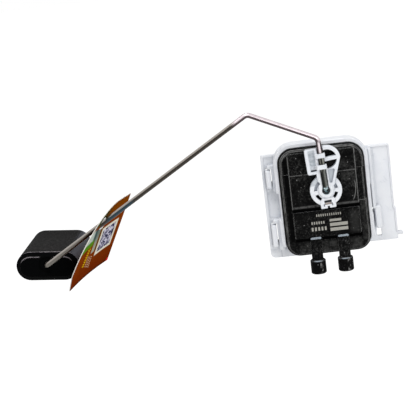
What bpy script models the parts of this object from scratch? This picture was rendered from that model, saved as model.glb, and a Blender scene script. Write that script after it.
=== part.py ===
"""Fuel level sender: a magnetic sensor case in a moulded bracket, with a swinging wire arm and a foam float.

Metres, +Z up. The front of the case faces -Y. The origin lies on the bracket's rear face, on the arm's axis,
which runs along Y. The arm is shown at its lower stop.
"""
import bpy
import bmesh
from math import acos, asin, atan2, ceil, cos, hypot, pi, radians, sin, tan
from mathutils import Vector

# Clearances
SEAT_GAP = 0.0003
RUN_GAP = 0.0003
SINK = 0.0003
PAST = 0.001

# Sensor cover
COVER_DROP = 0.0325
COVER_DEPTH = 0.0072
COVER_CORNER = 0.0075
COVER_LOW_CORNER = 0.0068
COVER_WALL = 0.0012
COVER_LAND = 0.0030
COVER_EDGE = 0.0003
RIM_WIDTH = 0.0014
RIM_DROP = 0.0022

# Fields and grooves on the cover's face
FIELD_MARGIN_LEFT = 0.00475
FIELD_MARGIN_RIGHT = 0.00465
FIELD_MARGIN_TOP = 0.00225
FIELD_MARGIN_BOTTOM = 0.00775
UPPER_FIELD = 0.0107
LOWER_FIELD = 0.01365
FIELD_RISE = 0.0005
FIELD_EDGE = 0.0002
FIELD_CORNER = 0.0005
MIDDLE_FIELD_RISE = 0.0003
GROOVE_WIDTH = 0.0011
GROOVE_DEPTH = 0.0005
SIDE_RECESS_HEIGHT = 0.0162
SIDE_RECESS_ABOVE = 0.0008
SIDE_RECESS_DEPTH = 0.0004

# Terminal stems, sockets and pins
TERMINAL_SPACING = 0.0135
TERMINAL_OFFSET = -0.0005
STEM_WIDTH = 0.0054
STEM_DEPTH = 0.0056
STEM_PROUD = 0.0014
STEM_RISE = 0.0096
STEM_REACH = 0.0024
STEM_BEVEL = 0.0012
STEM_CORNER = 0.0007
COLLAR_DIAMETER = 0.0076
COLLAR_LENGTH = 0.0069
COLLAR_EDGE = 0.0004
SOCKET_DIAMETER = 0.0052
SOCKET_DEPTH = 0.0057
PIN_DIAMETER = 0.0014
PIN_RECESS = 0.0020
PIN_BEND = 0.0012
PIN_RISE = 0.0079
PIN_SEAL_LENGTH = 0.0012

# Rear base, seal and the sensing stack
BASE_THICKNESS = 0.0016
BASE_RIB = 0.0006
BASE_RIB_HEIGHT = 0.0010
SEAL_THICKNESS = 0.0008
SEAL_WIDTH = 0.0016
SEAL_INSET = 0.0006
BOARD_THICKNESS = 0.0010
COMB_RADIUS = 0.01485
COMB_WIDTH = 0.0040
COMB_THICKNESS = 0.0002
COMB_CLEARANCE = 0.0008
COMB_START = radians(21.4)
COMB_END = radians(110)
COMB_PITCH = radians(5)
SPACER_THICKNESS = 0.0003
SPACER_MARGIN = 0.0005
TRACK_STRIP = 0.0006

# Bracket
FLOOR = 0.0015
FRAME_WALL = 0.0019
FRAME_HEIGHT = 0.0090
FRAME_EDGE = 0.0004
THIN_WALL = 0.0007
ROOT_DEPTH = 0.0014
LOWER_WALL = 0.0010
LOWER_WALL_HEIGHT = 0.0040
LOW_CORNER = 0.0050
WING_THICKNESS = 0.0020
WING_EDGE = 0.0002
WING_CORNER = 0.0025
SMALL_CORNER = 0.0006
LEFT_WING_WIDTH = 0.00595
LEFT_WING_DROP = 0.00505
LEFT_WING_BELOW = 0.0017
RIGHT_WING_WIDTH = 0.0112
RIGHT_WING_DROP = 0.0061
RIGHT_WING_ABOVE = 0.0013
RIGHT_STEP_WIDTH = 0.0007
RIGHT_STEP_HEIGHT = 0.0161
TAB_LENGTH = 0.0026
TAB_HEIGHT = 0.0017
TAB_RISE = 0.0021
LEFT_RIB = 0.0014
LEFT_RIB_RISE = 0.0047
TOP_RIB = 0.0012
RIGHT_RIB = 0.0009
RIB_HEIGHT = 0.0005
PANEL_RECESS = 0.0007
PANEL_MARGIN = 0.0003

# Clips and rails of the bracket
CLIP_WIDTH = 0.0026
CLIP_HEIGHT = 0.0042
CLIP_SLOT = 0.0005
CLIP_EDGE = 0.0005
CLIP_CORNER = 0.0007
UPPER_CLIP_LENGTH = 0.0090
UPPER_CLIP_TOP = 0.0110
LOWER_CLIP_LENGTH = 0.0113
LOWER_CLIP_RISE = 0.0064
LEDGE_WIDTH = 0.00125
LEDGE_HEIGHT = 0.0034
LEDGE_BELOW = 0.0020
HOOK_REACH = 0.0019
HOOK_WIDTH = 0.0019
RIGHT_CLIP_WIDTH = 0.0032
RIGHT_CLIP_LENGTH = 0.0114
RIGHT_CLIP_CORNER = 0.0012
RIGHT_CLIP_GAP = 0.00115
RIDGE_WIDTH = 0.0014
RIDGE_HEIGHT = 0.0042
LOW_RIDGE_WIDTH = 0.0009
LOW_RIDGE_HEIGHT = 0.0014
SLIT_WIDTH = 0.0004
SLIT_RISE = 0.0120
SLIT_HOLE = 0.0013
WINDOW_WIDTH = 0.0024
WINDOW_LENGTH = 0.0046
WINDOW_MARGIN = 0.0026

# Arm holder, upright in its own frame
HOLDER_GAP = 0.0005
DISC_RADIUS = 0.00775
DISC_THICKNESS = 0.0024
HUB_RADIUS = 0.0036
HUB_BORE = 0.0041
BODY_THICKNESS = 0.0032
CHANNEL_FLOOR = 0.0017
LOOP_RADIUS = 0.0065
LOOP_WALL = 0.0018
LOOP_X = 0.00275
LOOP_OFFSET = 0.00032
STRUT_WIDTH = 0.0018
STRUT_TILT = radians(3)
BOX_LEFT = 0.0075
BOX_ABOVE = 0.00593
BOX_BELOW = 0.00657
BOX_WALL = 0.0018
BOX_FLOOR = 0.0005
YOKE_WIDTH = 0.0074
YOKE_REACH = 0.0088
YOKE_WINDOW = 0.0035
NOTCH_WIDTH = 0.0008
FINGER_LENGTH = 0.0021
FINGER_WALL = 0.0010
FINGER_LIP = 0.0005
FINGER_LEFT = 0.0029
FINGER_BELOW = 0.00417
FINGER_ABOVE = 0.00133
SLOT_INNER = 0.0043
SLOT_OUTER = 0.0058
MAGNET_WIDTH = 0.0026
MAGNET_HEIGHT = 0.0060
MAGNET_THICKNESS = 0.0016
RING_DIAMETER = 0.0052
RING_THICKNESS = 0.0006

# Wire arm
REST_LEAN = radians(3.4)
WIRE_DIAMETER = 0.0025
WIRE_BEND = 0.0030
END_BEND = 0.0025
WIRE_RISE = 0.00423
SECOND_LEG = 0.0358
THIRD_LEG = 0.1236
FIRST_TURN = radians(61.3)
SECOND_TURN = radians(55.8)
BUSH_WALL = 0.0006
BUSH_LENGTH = 0.0047
BOSS_WALL = 0.0010

# Float
FLOAT_WIDTH = 0.0312
FLOAT_HEIGHT = 0.0144
FLOAT_DROP = 0.0012
FLOAT_LENGTH = 0.0510
FLOAT_CHAMFER = 0.0022
FLOAT_BACK_CHAMFER = 0.0010
FLOAT_TILT = radians(9.1)
FLOAT_BORE_GAP = 0.0004
FLOAT_FACE_GAP = 0.0005
FLOAT_EYE = 0.0080
FLOAT_EYE_DEPTH = 0.0004
WASHER_DIAMETER = 0.0080
WASHER_THICKNESS = 0.0008
WIRE_TAIL = 0.0012

# Card
TAG_WIDTH = 0.0423
TAG_HEIGHT = 0.0410
TAG_THICKNESS = 0.0004
TAG_HOLE = 0.0068
TAG_HOLE_X = 0.01764
TAG_HOLE_DROP = 0.00876
TAG_BULGE = 0.0045
TAG_BULGE_HEIGHT = 0.0110
TAG_SHOULDER = 0.0340
TAG_SHOULDER_POWER = 1.7
TAG_BOW = 0.0009
TAG_ALONG = 0.711
TAG_TURN = (radians(33.4), radians(-4.3), radians(69.3))

# Depths, from the bracket's rear face at zero to the front
Y_FLOOR = -FLOOR
Y_BASE_BACK = Y_FLOOR - SEAT_GAP
Y_BASE_FRONT = Y_BASE_BACK - BASE_THICKNESS
Y_SEAL_BACK = Y_BASE_FRONT - SEAT_GAP
Y_SEAL_FRONT = Y_SEAL_BACK - SEAL_THICKNESS
Y_COVER_RIM = Y_SEAL_FRONT - SEAT_GAP
Y_FACE = Y_COVER_RIM - COVER_DEPTH
Y_INNER = Y_FACE + COVER_WALL
Y_FIELD = Y_FACE - FIELD_RISE
Y_BOARD_BACK = Y_BASE_FRONT - SEAT_GAP
Y_BOARD_FRONT = Y_BOARD_BACK - BOARD_THICKNESS
Y_SPACER_BACK = Y_BOARD_FRONT - SEAT_GAP
Y_SPACER_FRONT = Y_SPACER_BACK - SPACER_THICKNESS
Y_COMB_BACK = Y_SPACER_FRONT - SEAT_GAP
Y_COMB_FRONT = Y_COMB_BACK - COMB_THICKNESS
Y_HOLDER = Y_FIELD - HOLDER_GAP
Y_CHANNEL = Y_HOLDER - CHANNEL_FLOOR
Y_WIRE = Y_CHANNEL - RUN_GAP - WIRE_DIAMETER / 2
Y_STEM = Y_FACE - STEM_PROUD
Y_PIN = Y_STEM + STEM_DEPTH / 2
Y_FLOAT = Y_WIRE + END_BEND + FLOAT_FACE_GAP
Y_BUSH_FRONT = Y_FACE - MIDDLE_FIELD_RISE
Y_BUSH_BACK = Y_BUSH_FRONT + BUSH_LENGTH
Y_AXLE_END = Y_BUSH_BACK - SEAT_GAP

# Edges of the cover, seen from the front, which the sensing comb asks for
COMB_REACH = COMB_RADIUS + COMB_WIDTH / 2 + SPACER_MARGIN
COMB_ROOM = COMB_CLEARANCE + COVER_LAND
LEFT = -(COMB_REACH + COMB_ROOM + TRACK_STRIP)
RIGHT = COMB_REACH * cos(COMB_START) + COMB_ROOM
TOP = COMB_REACH + COMB_ROOM
BOTTOM = -COVER_DROP
TERMINALS = (TERMINAL_OFFSET - TERMINAL_SPACING / 2, TERMINAL_OFFSET + TERMINAL_SPACING / 2)

# Heights on the holder and the wire's first leg, which follow the comb's radius
LOOP_Z = COMB_RADIUS + LOOP_OFFSET
BOX_TOP = LOOP_Z + BOX_ABOVE
BOX_BOTTOM = LOOP_Z - BOX_BELOW
FINGER_LOW = LOOP_Z - FINGER_BELOW
FINGER_HIGH = LOOP_Z + FINGER_ABOVE
FIRST_LEG = LOOP_Z + LOOP_RADIUS + WIRE_RISE


def arc(cx, cz, radius, start, end, step=radians(12)):
    """Points on an arc from one angle to another, ends included."""
    count = max(2, ceil(abs(end - start) / step - 1e-3))
    angles = [start + (end - start) * i / count for i in range(count + 1)]
    return [(cx + radius * cos(a), cz + radius * sin(a)) for a in angles]


def circle(cx, cz, radius, sides=32):
    """Points of a full circle, counter-clockwise."""
    return [(cx + radius * cos(2 * pi * i / sides), cz + radius * sin(2 * pi * i / sides)) for i in range(sides)]


def rounded(corners, step=radians(15)):
    """Outline through corners (x, z, radius), each rounded by its own radius. A radius of zero stays sharp."""
    points = []
    count = len(corners)
    for i in range(count):
        x, z, radius = corners[i]
        before = Vector(corners[i - 1][:2]) - Vector((x, z))
        after = Vector(corners[(i + 1) % count][:2]) - Vector((x, z))
        if radius <= 0:
            points.append((x, z))
            continue
        angle = before.angle(after)
        reach = min(radius / tan(angle / 2), before.length * 0.49, after.length * 0.49)
        radius = reach * tan(angle / 2)
        centre = Vector((x, z)) + (before.normalized() + after.normalized()).normalized() * radius / sin(angle / 2)
        first = Vector((x, z)) + before.normalized() * reach - centre
        last = Vector((x, z)) + after.normalized() * reach - centre
        start = atan2(first.y, first.x)
        turn = (atan2(last.y, last.x) - start + pi) % (2 * pi) - pi
        points += arc(centre.x, centre.y, radius, start, start + turn, step)
    return points


def box_outline(left, right, bottom, top, radius=0.0):
    """Rectangle with equal corner radii, counter-clockwise."""
    return rounded([(left, bottom, radius), (right, bottom, radius), (right, top, radius), (left, top, radius)])


def sector(inner, outer, start, end):
    """Part of a ring about the origin, between two angles."""
    return arc(0, 0, outer, start, end, radians(5)) + arc(0, 0, inner, end, start, radians(5))


def cover_outline(inset):
    """The cover's rounded outline, moved inwards by inset."""
    high, low = COVER_CORNER - inset, COVER_LOW_CORNER - inset
    left, right, bottom, top = LEFT + inset, RIGHT - inset, BOTTOM + inset, TOP - inset
    return rounded([(left, bottom, low), (right, bottom, low), (right, top, high), (left, top, high)], radians(10))


def inset_loop(points, distance):
    """A counter-clockwise outline moved inwards by a small distance."""
    result = []
    count = len(points)
    for i in range(count):
        here = Vector(points[i])
        before = (here - Vector(points[i - 1])).normalized()
        after = (Vector(points[(i + 1) % count]) - here).normalized()
        normals = Vector((-before.y, before.x)) + Vector((-after.y, after.x))
        result.append(tuple(here + normals * distance / (1 + before.dot(after))))
    return result


def loft(name, loops, ring=False):
    """Closed solid through loops of equal length, capped at both ends or joined into a ring."""
    mesh = bpy.data.meshes.new(name)
    bm = bmesh.new()
    rows = [[bm.verts.new(point) for point in loop] for loop in loops]
    count = len(rows[0])
    pairs = list(zip(rows, rows[1:])) + ([(rows[-1], rows[0])] if ring else [])
    for low, high in pairs:
        for i in range(count):
            j = (i + 1) % count
            bm.faces.new((low[i], low[j], high[j], high[i]))
    if not ring:
        bm.faces.new(rows[0])
        bm.faces.new(rows[-1])
    bmesh.ops.recalc_face_normals(bm, faces=bm.faces)
    bm.to_mesh(mesh)
    bm.free()
    obj = bpy.data.objects.new(name, mesh)
    bpy.context.collection.objects.link(obj)
    return obj


def prism(outline, back, front, chamfer=0.0, name="solid"):
    """Outline (x, z) pulled from y = back to y = front, with an optional chamfer round its front face."""
    loops = [[(x, back, z) for x, z in outline], [(x, front + chamfer, z) for x, z in outline]]
    if chamfer > 0:
        loops.append([(x, front, z) for x, z in inset_loop(outline, chamfer)])
    return loft(name, loops)


def upright(outline, bottom, top, name="solid"):
    """Outline (x, y) pulled from z = bottom to z = top."""
    return loft(name, [[(x, y, bottom) for x, y in outline], [(x, y, top) for x, y in outline]])


def turned(name, profile, axis, centre, sides=32):
    """Ring turned about an axis along Y or Z. The profile is a closed loop of (radius, distance along the axis)."""
    loops = []
    for i in range(sides):
        c, s = cos(2 * pi * i / sides), sin(2 * pi * i / sides)
        if axis == "Y":
            loops.append([(centre[0] + r * c, along, centre[1] + r * s) for r, along in profile])
        else:
            loops.append([(centre[0] + r * c, centre[1] + r * s, along) for r, along in profile])
    return loft(name, loops, ring=True)


def washer(name, outer, inner, back, front, centre=(0.0, 0.0)):
    """Flat ring about an axis along Y, with small chamfers outside."""
    edge = min((back - front) / 4, (outer - inner) / 8)
    profile = [(inner / 2, back), (outer / 2 - edge, back), (outer / 2, back - edge),
               (outer / 2, front + edge), (outer / 2 - edge, front), (inner / 2, front)]
    return turned(name, profile, "Y", centre, 24)


def combine(target, tool, operation):
    """Applies one Boolean to the target and removes the tool."""
    modifier = target.modifiers.new("combine", "BOOLEAN")
    modifier.operation = operation
    modifier.solver = "EXACT"
    modifier.object = tool
    graph = bpy.context.evaluated_depsgraph_get()
    mesh = bpy.data.meshes.new_from_object(target.evaluated_get(graph))
    target.modifiers.clear()
    old = target.data
    target.data = mesh
    bpy.data.meshes.remove(old)
    bpy.data.objects.remove(tool)


def add(target, *tools):
    """Joins solids to the target."""
    for tool in tools:
        combine(target, tool, "UNION")


def cut(target, *tools):
    """Takes solids out of the target."""
    for tool in tools:
        combine(target, tool, "DIFFERENCE")


def bent_path(corners):
    """Points along straight legs joined by round bends. A corner is (x, y, z, bend radius)."""
    points = [Vector(corners[0][:3])]
    for before, corner, after in zip(corners, corners[1:], corners[2:]):
        here = Vector(corner[:3])
        back = (Vector(before[:3]) - here).normalized()
        ahead = (Vector(after[:3]) - here).normalized()
        half = back.angle(ahead) / 2
        centre = here + (back + ahead).normalized() * corner[3] / sin(half)
        first = here + back * corner[3] / tan(half) - centre
        last = here + ahead * corner[3] / tan(half) - centre
        turn = first.angle(last)
        count = ceil(turn / radians(13))
        for i in range(count + 1):
            t = i / count
            points.append(centre + (first * sin((1 - t) * turn) + last * sin(t * turn)) / sin(turn))
    points.append(Vector(corners[-1][:3]))
    return points


def rod(name, corners, diameter, resolution=6):
    """Round bar bent through corners, as a curve with a round bevel."""
    curve = bpy.data.curves.new(name, "CURVE")
    curve.dimensions = "3D"
    curve.bevel_depth = diameter / 2
    curve.bevel_resolution = resolution
    curve.use_fill_caps = True
    spline = curve.splines.new("POLY")
    points = bent_path(corners)
    spline.points.add(len(points) - 1)
    for item, point in zip(spline.points, points):
        item.co = (*point, 1.0)
    obj = bpy.data.objects.new(name, curve)
    bpy.context.collection.objects.link(obj)
    return obj


def finish(obj, name, colour, roughness, metallic=0.0, parent=None):
    """Names a piece, gives it its own material and smooth round faces, and hangs it on its axis."""
    obj.name = name
    obj.data.name = name
    material = bpy.data.materials.new(name)
    material.use_nodes = True
    shader = material.node_tree.nodes["Principled BSDF"]
    shader.inputs["Base Color"].default_value = (*colour, 1.0)
    shader.inputs["Roughness"].default_value = roughness
    shader.inputs["Metallic"].default_value = metallic
    material.diffuse_color = (*colour, 1.0)
    obj.data.materials.clear()
    obj.data.materials.append(material)
    if obj.type == "MESH":
        obj.data.shade_smooth()
        obj.data.set_sharp_from_angle(angle=radians(32))
    if parent:
        obj.parent = parent
    return obj


def axis_empty(name, location, turn, parent=None):
    """Empty on a joint's axis, which the moving pieces hang on."""
    obj = bpy.data.objects.new(name, None)
    bpy.context.collection.objects.link(obj)
    obj.location = location
    obj.rotation_euler = (0.0, turn, 0.0)
    obj.parent = parent
    return obj


WHITE = (0.80, 0.82, 0.84)
BLACK = (0.012, 0.012, 0.013)
STEEL = (0.56, 0.55, 0.54)
BRASS = (0.62, 0.47, 0.22)


def clip_bar(left, bottom, length, width=CLIP_WIDTH, corner=CLIP_CORNER):
    """Raised bar of a clip, rounded at both ends and chamfered all round."""
    outline = box_outline(left, left + width, bottom, bottom + length, corner)
    return prism(outline, Y_FLOOR, -WING_THICKNESS - CLIP_HEIGHT, CLIP_EDGE)


def clip_slot(left, bottom, length):
    """Through slot round the free upper end of a clip bar and down its right side."""
    right, top = left + CLIP_WIDTH, bottom + length
    front = -FRAME_HEIGHT
    side = prism(box_outline(right, right + CLIP_SLOT, bottom + CLIP_WIDTH, top + CLIP_SLOT), PAST, front)
    end = box_outline(left + SINK, right + CLIP_SLOT, top - SINK, top + CLIP_SLOT)
    add(side, prism(end, PAST + SINK, front - SINK))
    return side


def hook_ledge(left, inner, right, bottom, top):
    """Ledge beside a clip bar, as a widened wall that turns over the bar's free end."""
    outline = [(inner, bottom, HOOK_WIDTH), (right, bottom, 0), (right, top, 0), (left, top, HOOK_WIDTH),
               (left, top - HOOK_WIDTH, 0), (inner, top - HOOK_WIDTH, HOOK_WIDTH / 2)]
    return prism(rounded(outline), Y_FLOOR, -WING_THICKNESS - LEDGE_HEIGHT, WING_EDGE)


def left_side(bracket, edge, frame, low, high):
    """Left wing's ribs, two clip bars with their ledges, and the recessed panel between them."""
    rib_front = -WING_THICKNESS - RIB_HEIGHT
    root = frame + ROOT_DEPTH
    rib_low, rib_right = low + LEFT_RIB_RISE, edge + LEFT_RIB
    rib = [(edge, rib_low, 0), (rib_right, rib_low, 0), (rib_right, high - TOP_RIB, 0),
           (root, high - TOP_RIB, 0), (root, high, 0), (edge, high, SMALL_CORNER)]
    add(bracket, prism(rounded(rib), Y_FLOOR, rib_front, WING_EDGE))
    ledge_left = frame - LEDGE_WIDTH
    bar = ledge_left - CLIP_SLOT - CLIP_WIDTH
    upper_low, lower_low = UPPER_CLIP_TOP - UPPER_CLIP_LENGTH, low + LOWER_CLIP_RISE
    lower_top = lower_low + LOWER_CLIP_LENGTH
    ledge_rise = CLIP_SLOT + HOOK_WIDTH
    recess = -WING_THICKNESS + PANEL_RECESS
    panel = box_outline(rib_right, LEFT - RUN_GAP - THIN_WALL, lower_top + ledge_rise + PANEL_MARGIN,
                        upper_low - LEDGE_BELOW - PANEL_MARGIN, FIELD_CORNER)
    foot = box_outline(edge - PAST, frame - SINK, low - PAST, rib_low)
    cut(bracket, prism(panel, recess, -FRAME_HEIGHT - PAST), prism(foot, recess, rib_front - PAST))
    for bottom, length in ((upper_low, UPPER_CLIP_LENGTH), (lower_low, LOWER_CLIP_LENGTH)):
        add(bracket, hook_ledge(ledge_left - HOOK_REACH, ledge_left, root, bottom - LEDGE_BELOW,
                                bottom + length + ledge_rise))
        cut(bracket, clip_slot(bar, bottom, length))
        add(bracket, clip_bar(bar, bottom, length))


def right_side(bracket, edge, frame, low, high, step_top, tab_low):
    """Right wing's edge rib, clip bar, window, two ridges, and the slit along the case wall."""
    rib_front = -WING_THICKNESS - RIB_HEIGHT
    root = frame - ROOT_DEPTH
    tab_right = edge + RIGHT_STEP_WIDTH
    rib_low = tab_low + TAB_HEIGHT
    rib = [(tab_right - RIGHT_RIB, rib_low, 0), (tab_right, rib_low, 0), (tab_right, step_top, 0),
           (edge, step_top + RIGHT_STEP_WIDTH, 0), (edge, high, WING_CORNER / 2), (root, high, 0),
           (root, high - TOP_RIB, 0), (edge - RIGHT_RIB, high - TOP_RIB, 0), (edge - RIGHT_RIB, step_top, 0),
           (tab_right - RIGHT_RIB, step_top - RIGHT_STEP_WIDTH, 0)]
    add(bracket, prism(rounded(rib), Y_FLOOR, rib_front, WING_EDGE))
    bar_left = frame + RIGHT_CLIP_GAP
    bar_low = low + WINDOW_LENGTH + WINDOW_MARGIN
    bar_top = bar_low + RIGHT_CLIP_LENGTH
    slit_top = bar_top + SLIT_RISE
    ridge_left = frame + SLIT_WIDTH
    ridge_right = ridge_left + RIDGE_WIDTH
    ridge_low, ridge_top = bar_top - RIGHT_CLIP_CORNER, high - TOP_RIB / 2
    ridge = box_outline(ridge_left, ridge_right, ridge_low, ridge_top, PANEL_MARGIN)
    fill = box_outline(root, ridge_left + SINK, slit_top, ridge_top - PANEL_MARGIN)
    low_ridge = box_outline(ridge_right - SINK, ridge_right + LOW_RIDGE_WIDTH, ridge_low, ridge_top - TOP_RIB)
    add(bracket, prism(ridge, Y_FLOOR, -WING_THICKNESS - RIDGE_HEIGHT, WING_EDGE),
        prism(fill, Y_FLOOR, -WING_THICKNESS - RIDGE_HEIGHT + 2 * WING_EDGE),
        prism(low_ridge, Y_FLOOR, -WING_THICKNESS - LOW_RIDGE_HEIGHT))
    add(bracket, clip_bar(bar_left, bar_low, RIGHT_CLIP_LENGTH, RIGHT_CLIP_WIDTH, RIGHT_CLIP_CORNER))
    slit_left, slit_right, hole_low = frame - SINK, bar_left - PANEL_MARGIN, ridge_low - SLIT_HOLE
    slit = [(slit_left, hole_low), (slit_right, hole_low), (slit_right, ridge_low), (ridge_left, ridge_low),
            (ridge_left, slit_top), (slit_left, slit_top)]
    window_left = bar_left + (RIGHT_CLIP_WIDTH - WINDOW_WIDTH) / 2
    window = box_outline(window_left, window_left + WINDOW_WIDTH, low + WINDOW_MARGIN, bar_low - SINK, PANEL_MARGIN)
    cut(bracket, prism(slit, PAST, -FRAME_HEIGHT - PAST), prism(window, PAST, -WING_THICKNESS - PAST))


def make_bracket():
    """White carrier: walled pocket for the sensor case, two wings, clip bars, ledges, ribs and a tab."""
    gap = RUN_GAP
    outer = FRAME_WALL + gap
    frame_left, frame_right, frame_top = LEFT - outer, RIGHT + outer, TOP + outer
    frame_bottom = BOTTOM - gap - LOWER_WALL
    outline = box_outline(frame_left, frame_right, frame_bottom, frame_top, COVER_CORNER + outer)
    bracket = prism(outline, 0, -FRAME_HEIGHT, FRAME_EDGE)

    left_edge, left_top = frame_left - LEFT_WING_WIDTH, frame_top - LEFT_WING_DROP
    left_bottom = BOTTOM - LEFT_WING_BELOW
    inside = COVER_CORNER
    wing = rounded([(left_edge, left_bottom, WING_CORNER), (LEFT + inside, left_bottom, 0),
                    (LEFT + inside, left_top, 0), (left_edge, left_top, SMALL_CORNER)])
    left_wing = prism(wing, 0, -WING_THICKNESS, WING_EDGE)
    right_edge, right_top = frame_right + RIGHT_WING_WIDTH, frame_top - RIGHT_WING_DROP
    right_bottom = BOTTOM + RIGHT_WING_ABOVE
    step_top = right_bottom + RIGHT_STEP_HEIGHT
    tab_low = right_bottom + TAB_RISE
    tab_right = right_edge + RIGHT_STEP_WIDTH
    corner = SMALL_CORNER
    wing = rounded([(RIGHT - inside, right_bottom, 0), (tab_right, right_bottom, corner), (tab_right, tab_low, 0),
                    (tab_right + TAB_LENGTH, tab_low, corner / 2),
                    (tab_right + TAB_LENGTH, tab_low + TAB_HEIGHT, corner), (tab_right, tab_low + TAB_HEIGHT, 0),
                    (tab_right, step_top, corner / 2), (right_edge, step_top + RIGHT_STEP_WIDTH, corner / 2),
                    (right_edge, right_top, WING_CORNER / 2), (RIGHT - inside, right_top, 0)])
    add(bracket, left_wing, prism(wing, 0, -WING_THICKNESS, WING_EDGE))

    pocket = prism(cover_outline(-gap), Y_FLOOR, -FRAME_HEIGHT - PAST)
    low_side = box_outline(frame_left - PAST, frame_right + PAST, frame_bottom - PAST, BOTTOM + LOW_CORNER)
    cut(bracket, pocket, prism(low_side, -LOWER_WALL_HEIGHT, -FRAME_HEIGHT - PAST))
    left_side(bracket, left_edge, frame_left, left_bottom, left_top)
    right_side(bracket, right_edge, frame_right, right_bottom, right_top, step_top, tab_low)
    return finish(bracket, "mounting_bracket", WHITE, 0.42)


def make_base():
    """Black rear tray: a plate with a rib that locates the board inside the seal."""
    base = prism(cover_outline(0), Y_BASE_BACK, Y_BASE_FRONT)
    inset = SEAL_INSET + SEAL_WIDTH + SEAT_GAP
    rib = prism(cover_outline(inset), Y_BASE_BACK - SINK, Y_BASE_FRONT - BASE_RIB_HEIGHT)
    cut(rib, prism(cover_outline(inset + BASE_RIB), Y_BASE_BACK, Y_BASE_FRONT - BASE_RIB_HEIGHT - PAST))
    add(base, rib)
    return finish(base, "sensor_base", BLACK, 0.55)


def make_seal():
    """Rubber gasket on the land between base and cover."""
    loops = [[(x, y, z) for x, z in cover_outline(inset)] for inset, y in (
        (SEAL_INSET, Y_SEAL_BACK), (SEAL_INSET, Y_SEAL_FRONT),
        (SEAL_INSET + SEAL_WIDTH, Y_SEAL_FRONT), (SEAL_INSET + SEAL_WIDTH, Y_SEAL_BACK))]
    return finish(loft("seal", loops, ring=True), "case_seal", (0.02, 0.02, 0.022), 0.8)


def make_board():
    """Ceramic board inside the base's rib."""
    inset = SEAL_INSET + SEAL_WIDTH + BASE_RIB + 2 * SEAT_GAP
    board = prism(cover_outline(inset), Y_BOARD_BACK, Y_BOARD_FRONT)
    return finish(board, "resistor_board", (0.72, 0.73, 0.70), 0.5)


def make_comb():
    """Thin comb of steel fingers on an arc, joined along its outer edge, and the frame below it."""
    inner, outer = COMB_RADIUS - COMB_WIDTH / 2, COMB_RADIUS + COMB_WIDTH / 2
    comb = prism(sector(inner, outer, COMB_START, COMB_END), Y_COMB_BACK, Y_COMB_FRONT)
    count = int((COMB_END - COMB_START) / COMB_PITCH)
    for i in range(1, count):
        angle = COMB_START + i * COMB_PITCH
        slot = sector(inner - PAST, outer - COMB_WIDTH / 4, angle - COMB_PITCH / 8, angle + COMB_PITCH / 8)
        cut(comb, prism(slot, Y_COMB_BACK + PAST / 4, Y_COMB_FRONT - PAST / 4))
    finish(comb, "contact_comb", STEEL, 0.3, 1.0)
    spread = SPACER_MARGIN / COMB_RADIUS
    spacer = prism(sector(inner - SPACER_MARGIN, outer + SPACER_MARGIN, COMB_START - spread, COMB_END + spread),
                   Y_SPACER_BACK, Y_SPACER_FRONT)
    hole = sector(inner + SPACER_MARGIN, outer - SPACER_MARGIN, COMB_START + spread, COMB_END - spread)
    cut(spacer, prism(hole, Y_SPACER_BACK + PAST / 4, Y_SPACER_FRONT - PAST / 4))
    finish(spacer, "comb_spacer", (0.55, 0.32, 0.08), 0.5)


def cover_shell(inset, back):
    """Solid block of the cover with its sloped rim, narrower by inset and moved back."""
    shoulder = Y_FACE + RIM_DROP
    rows = ((inset, Y_COVER_RIM), (inset, shoulder + COVER_EDGE + back), (inset + COVER_EDGE, shoulder + back),
            (inset + RIM_WIDTH, Y_FACE + back))
    return loft("cover", [[(x, y, z) for x, z in cover_outline(row)] for row, y in rows])


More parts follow.
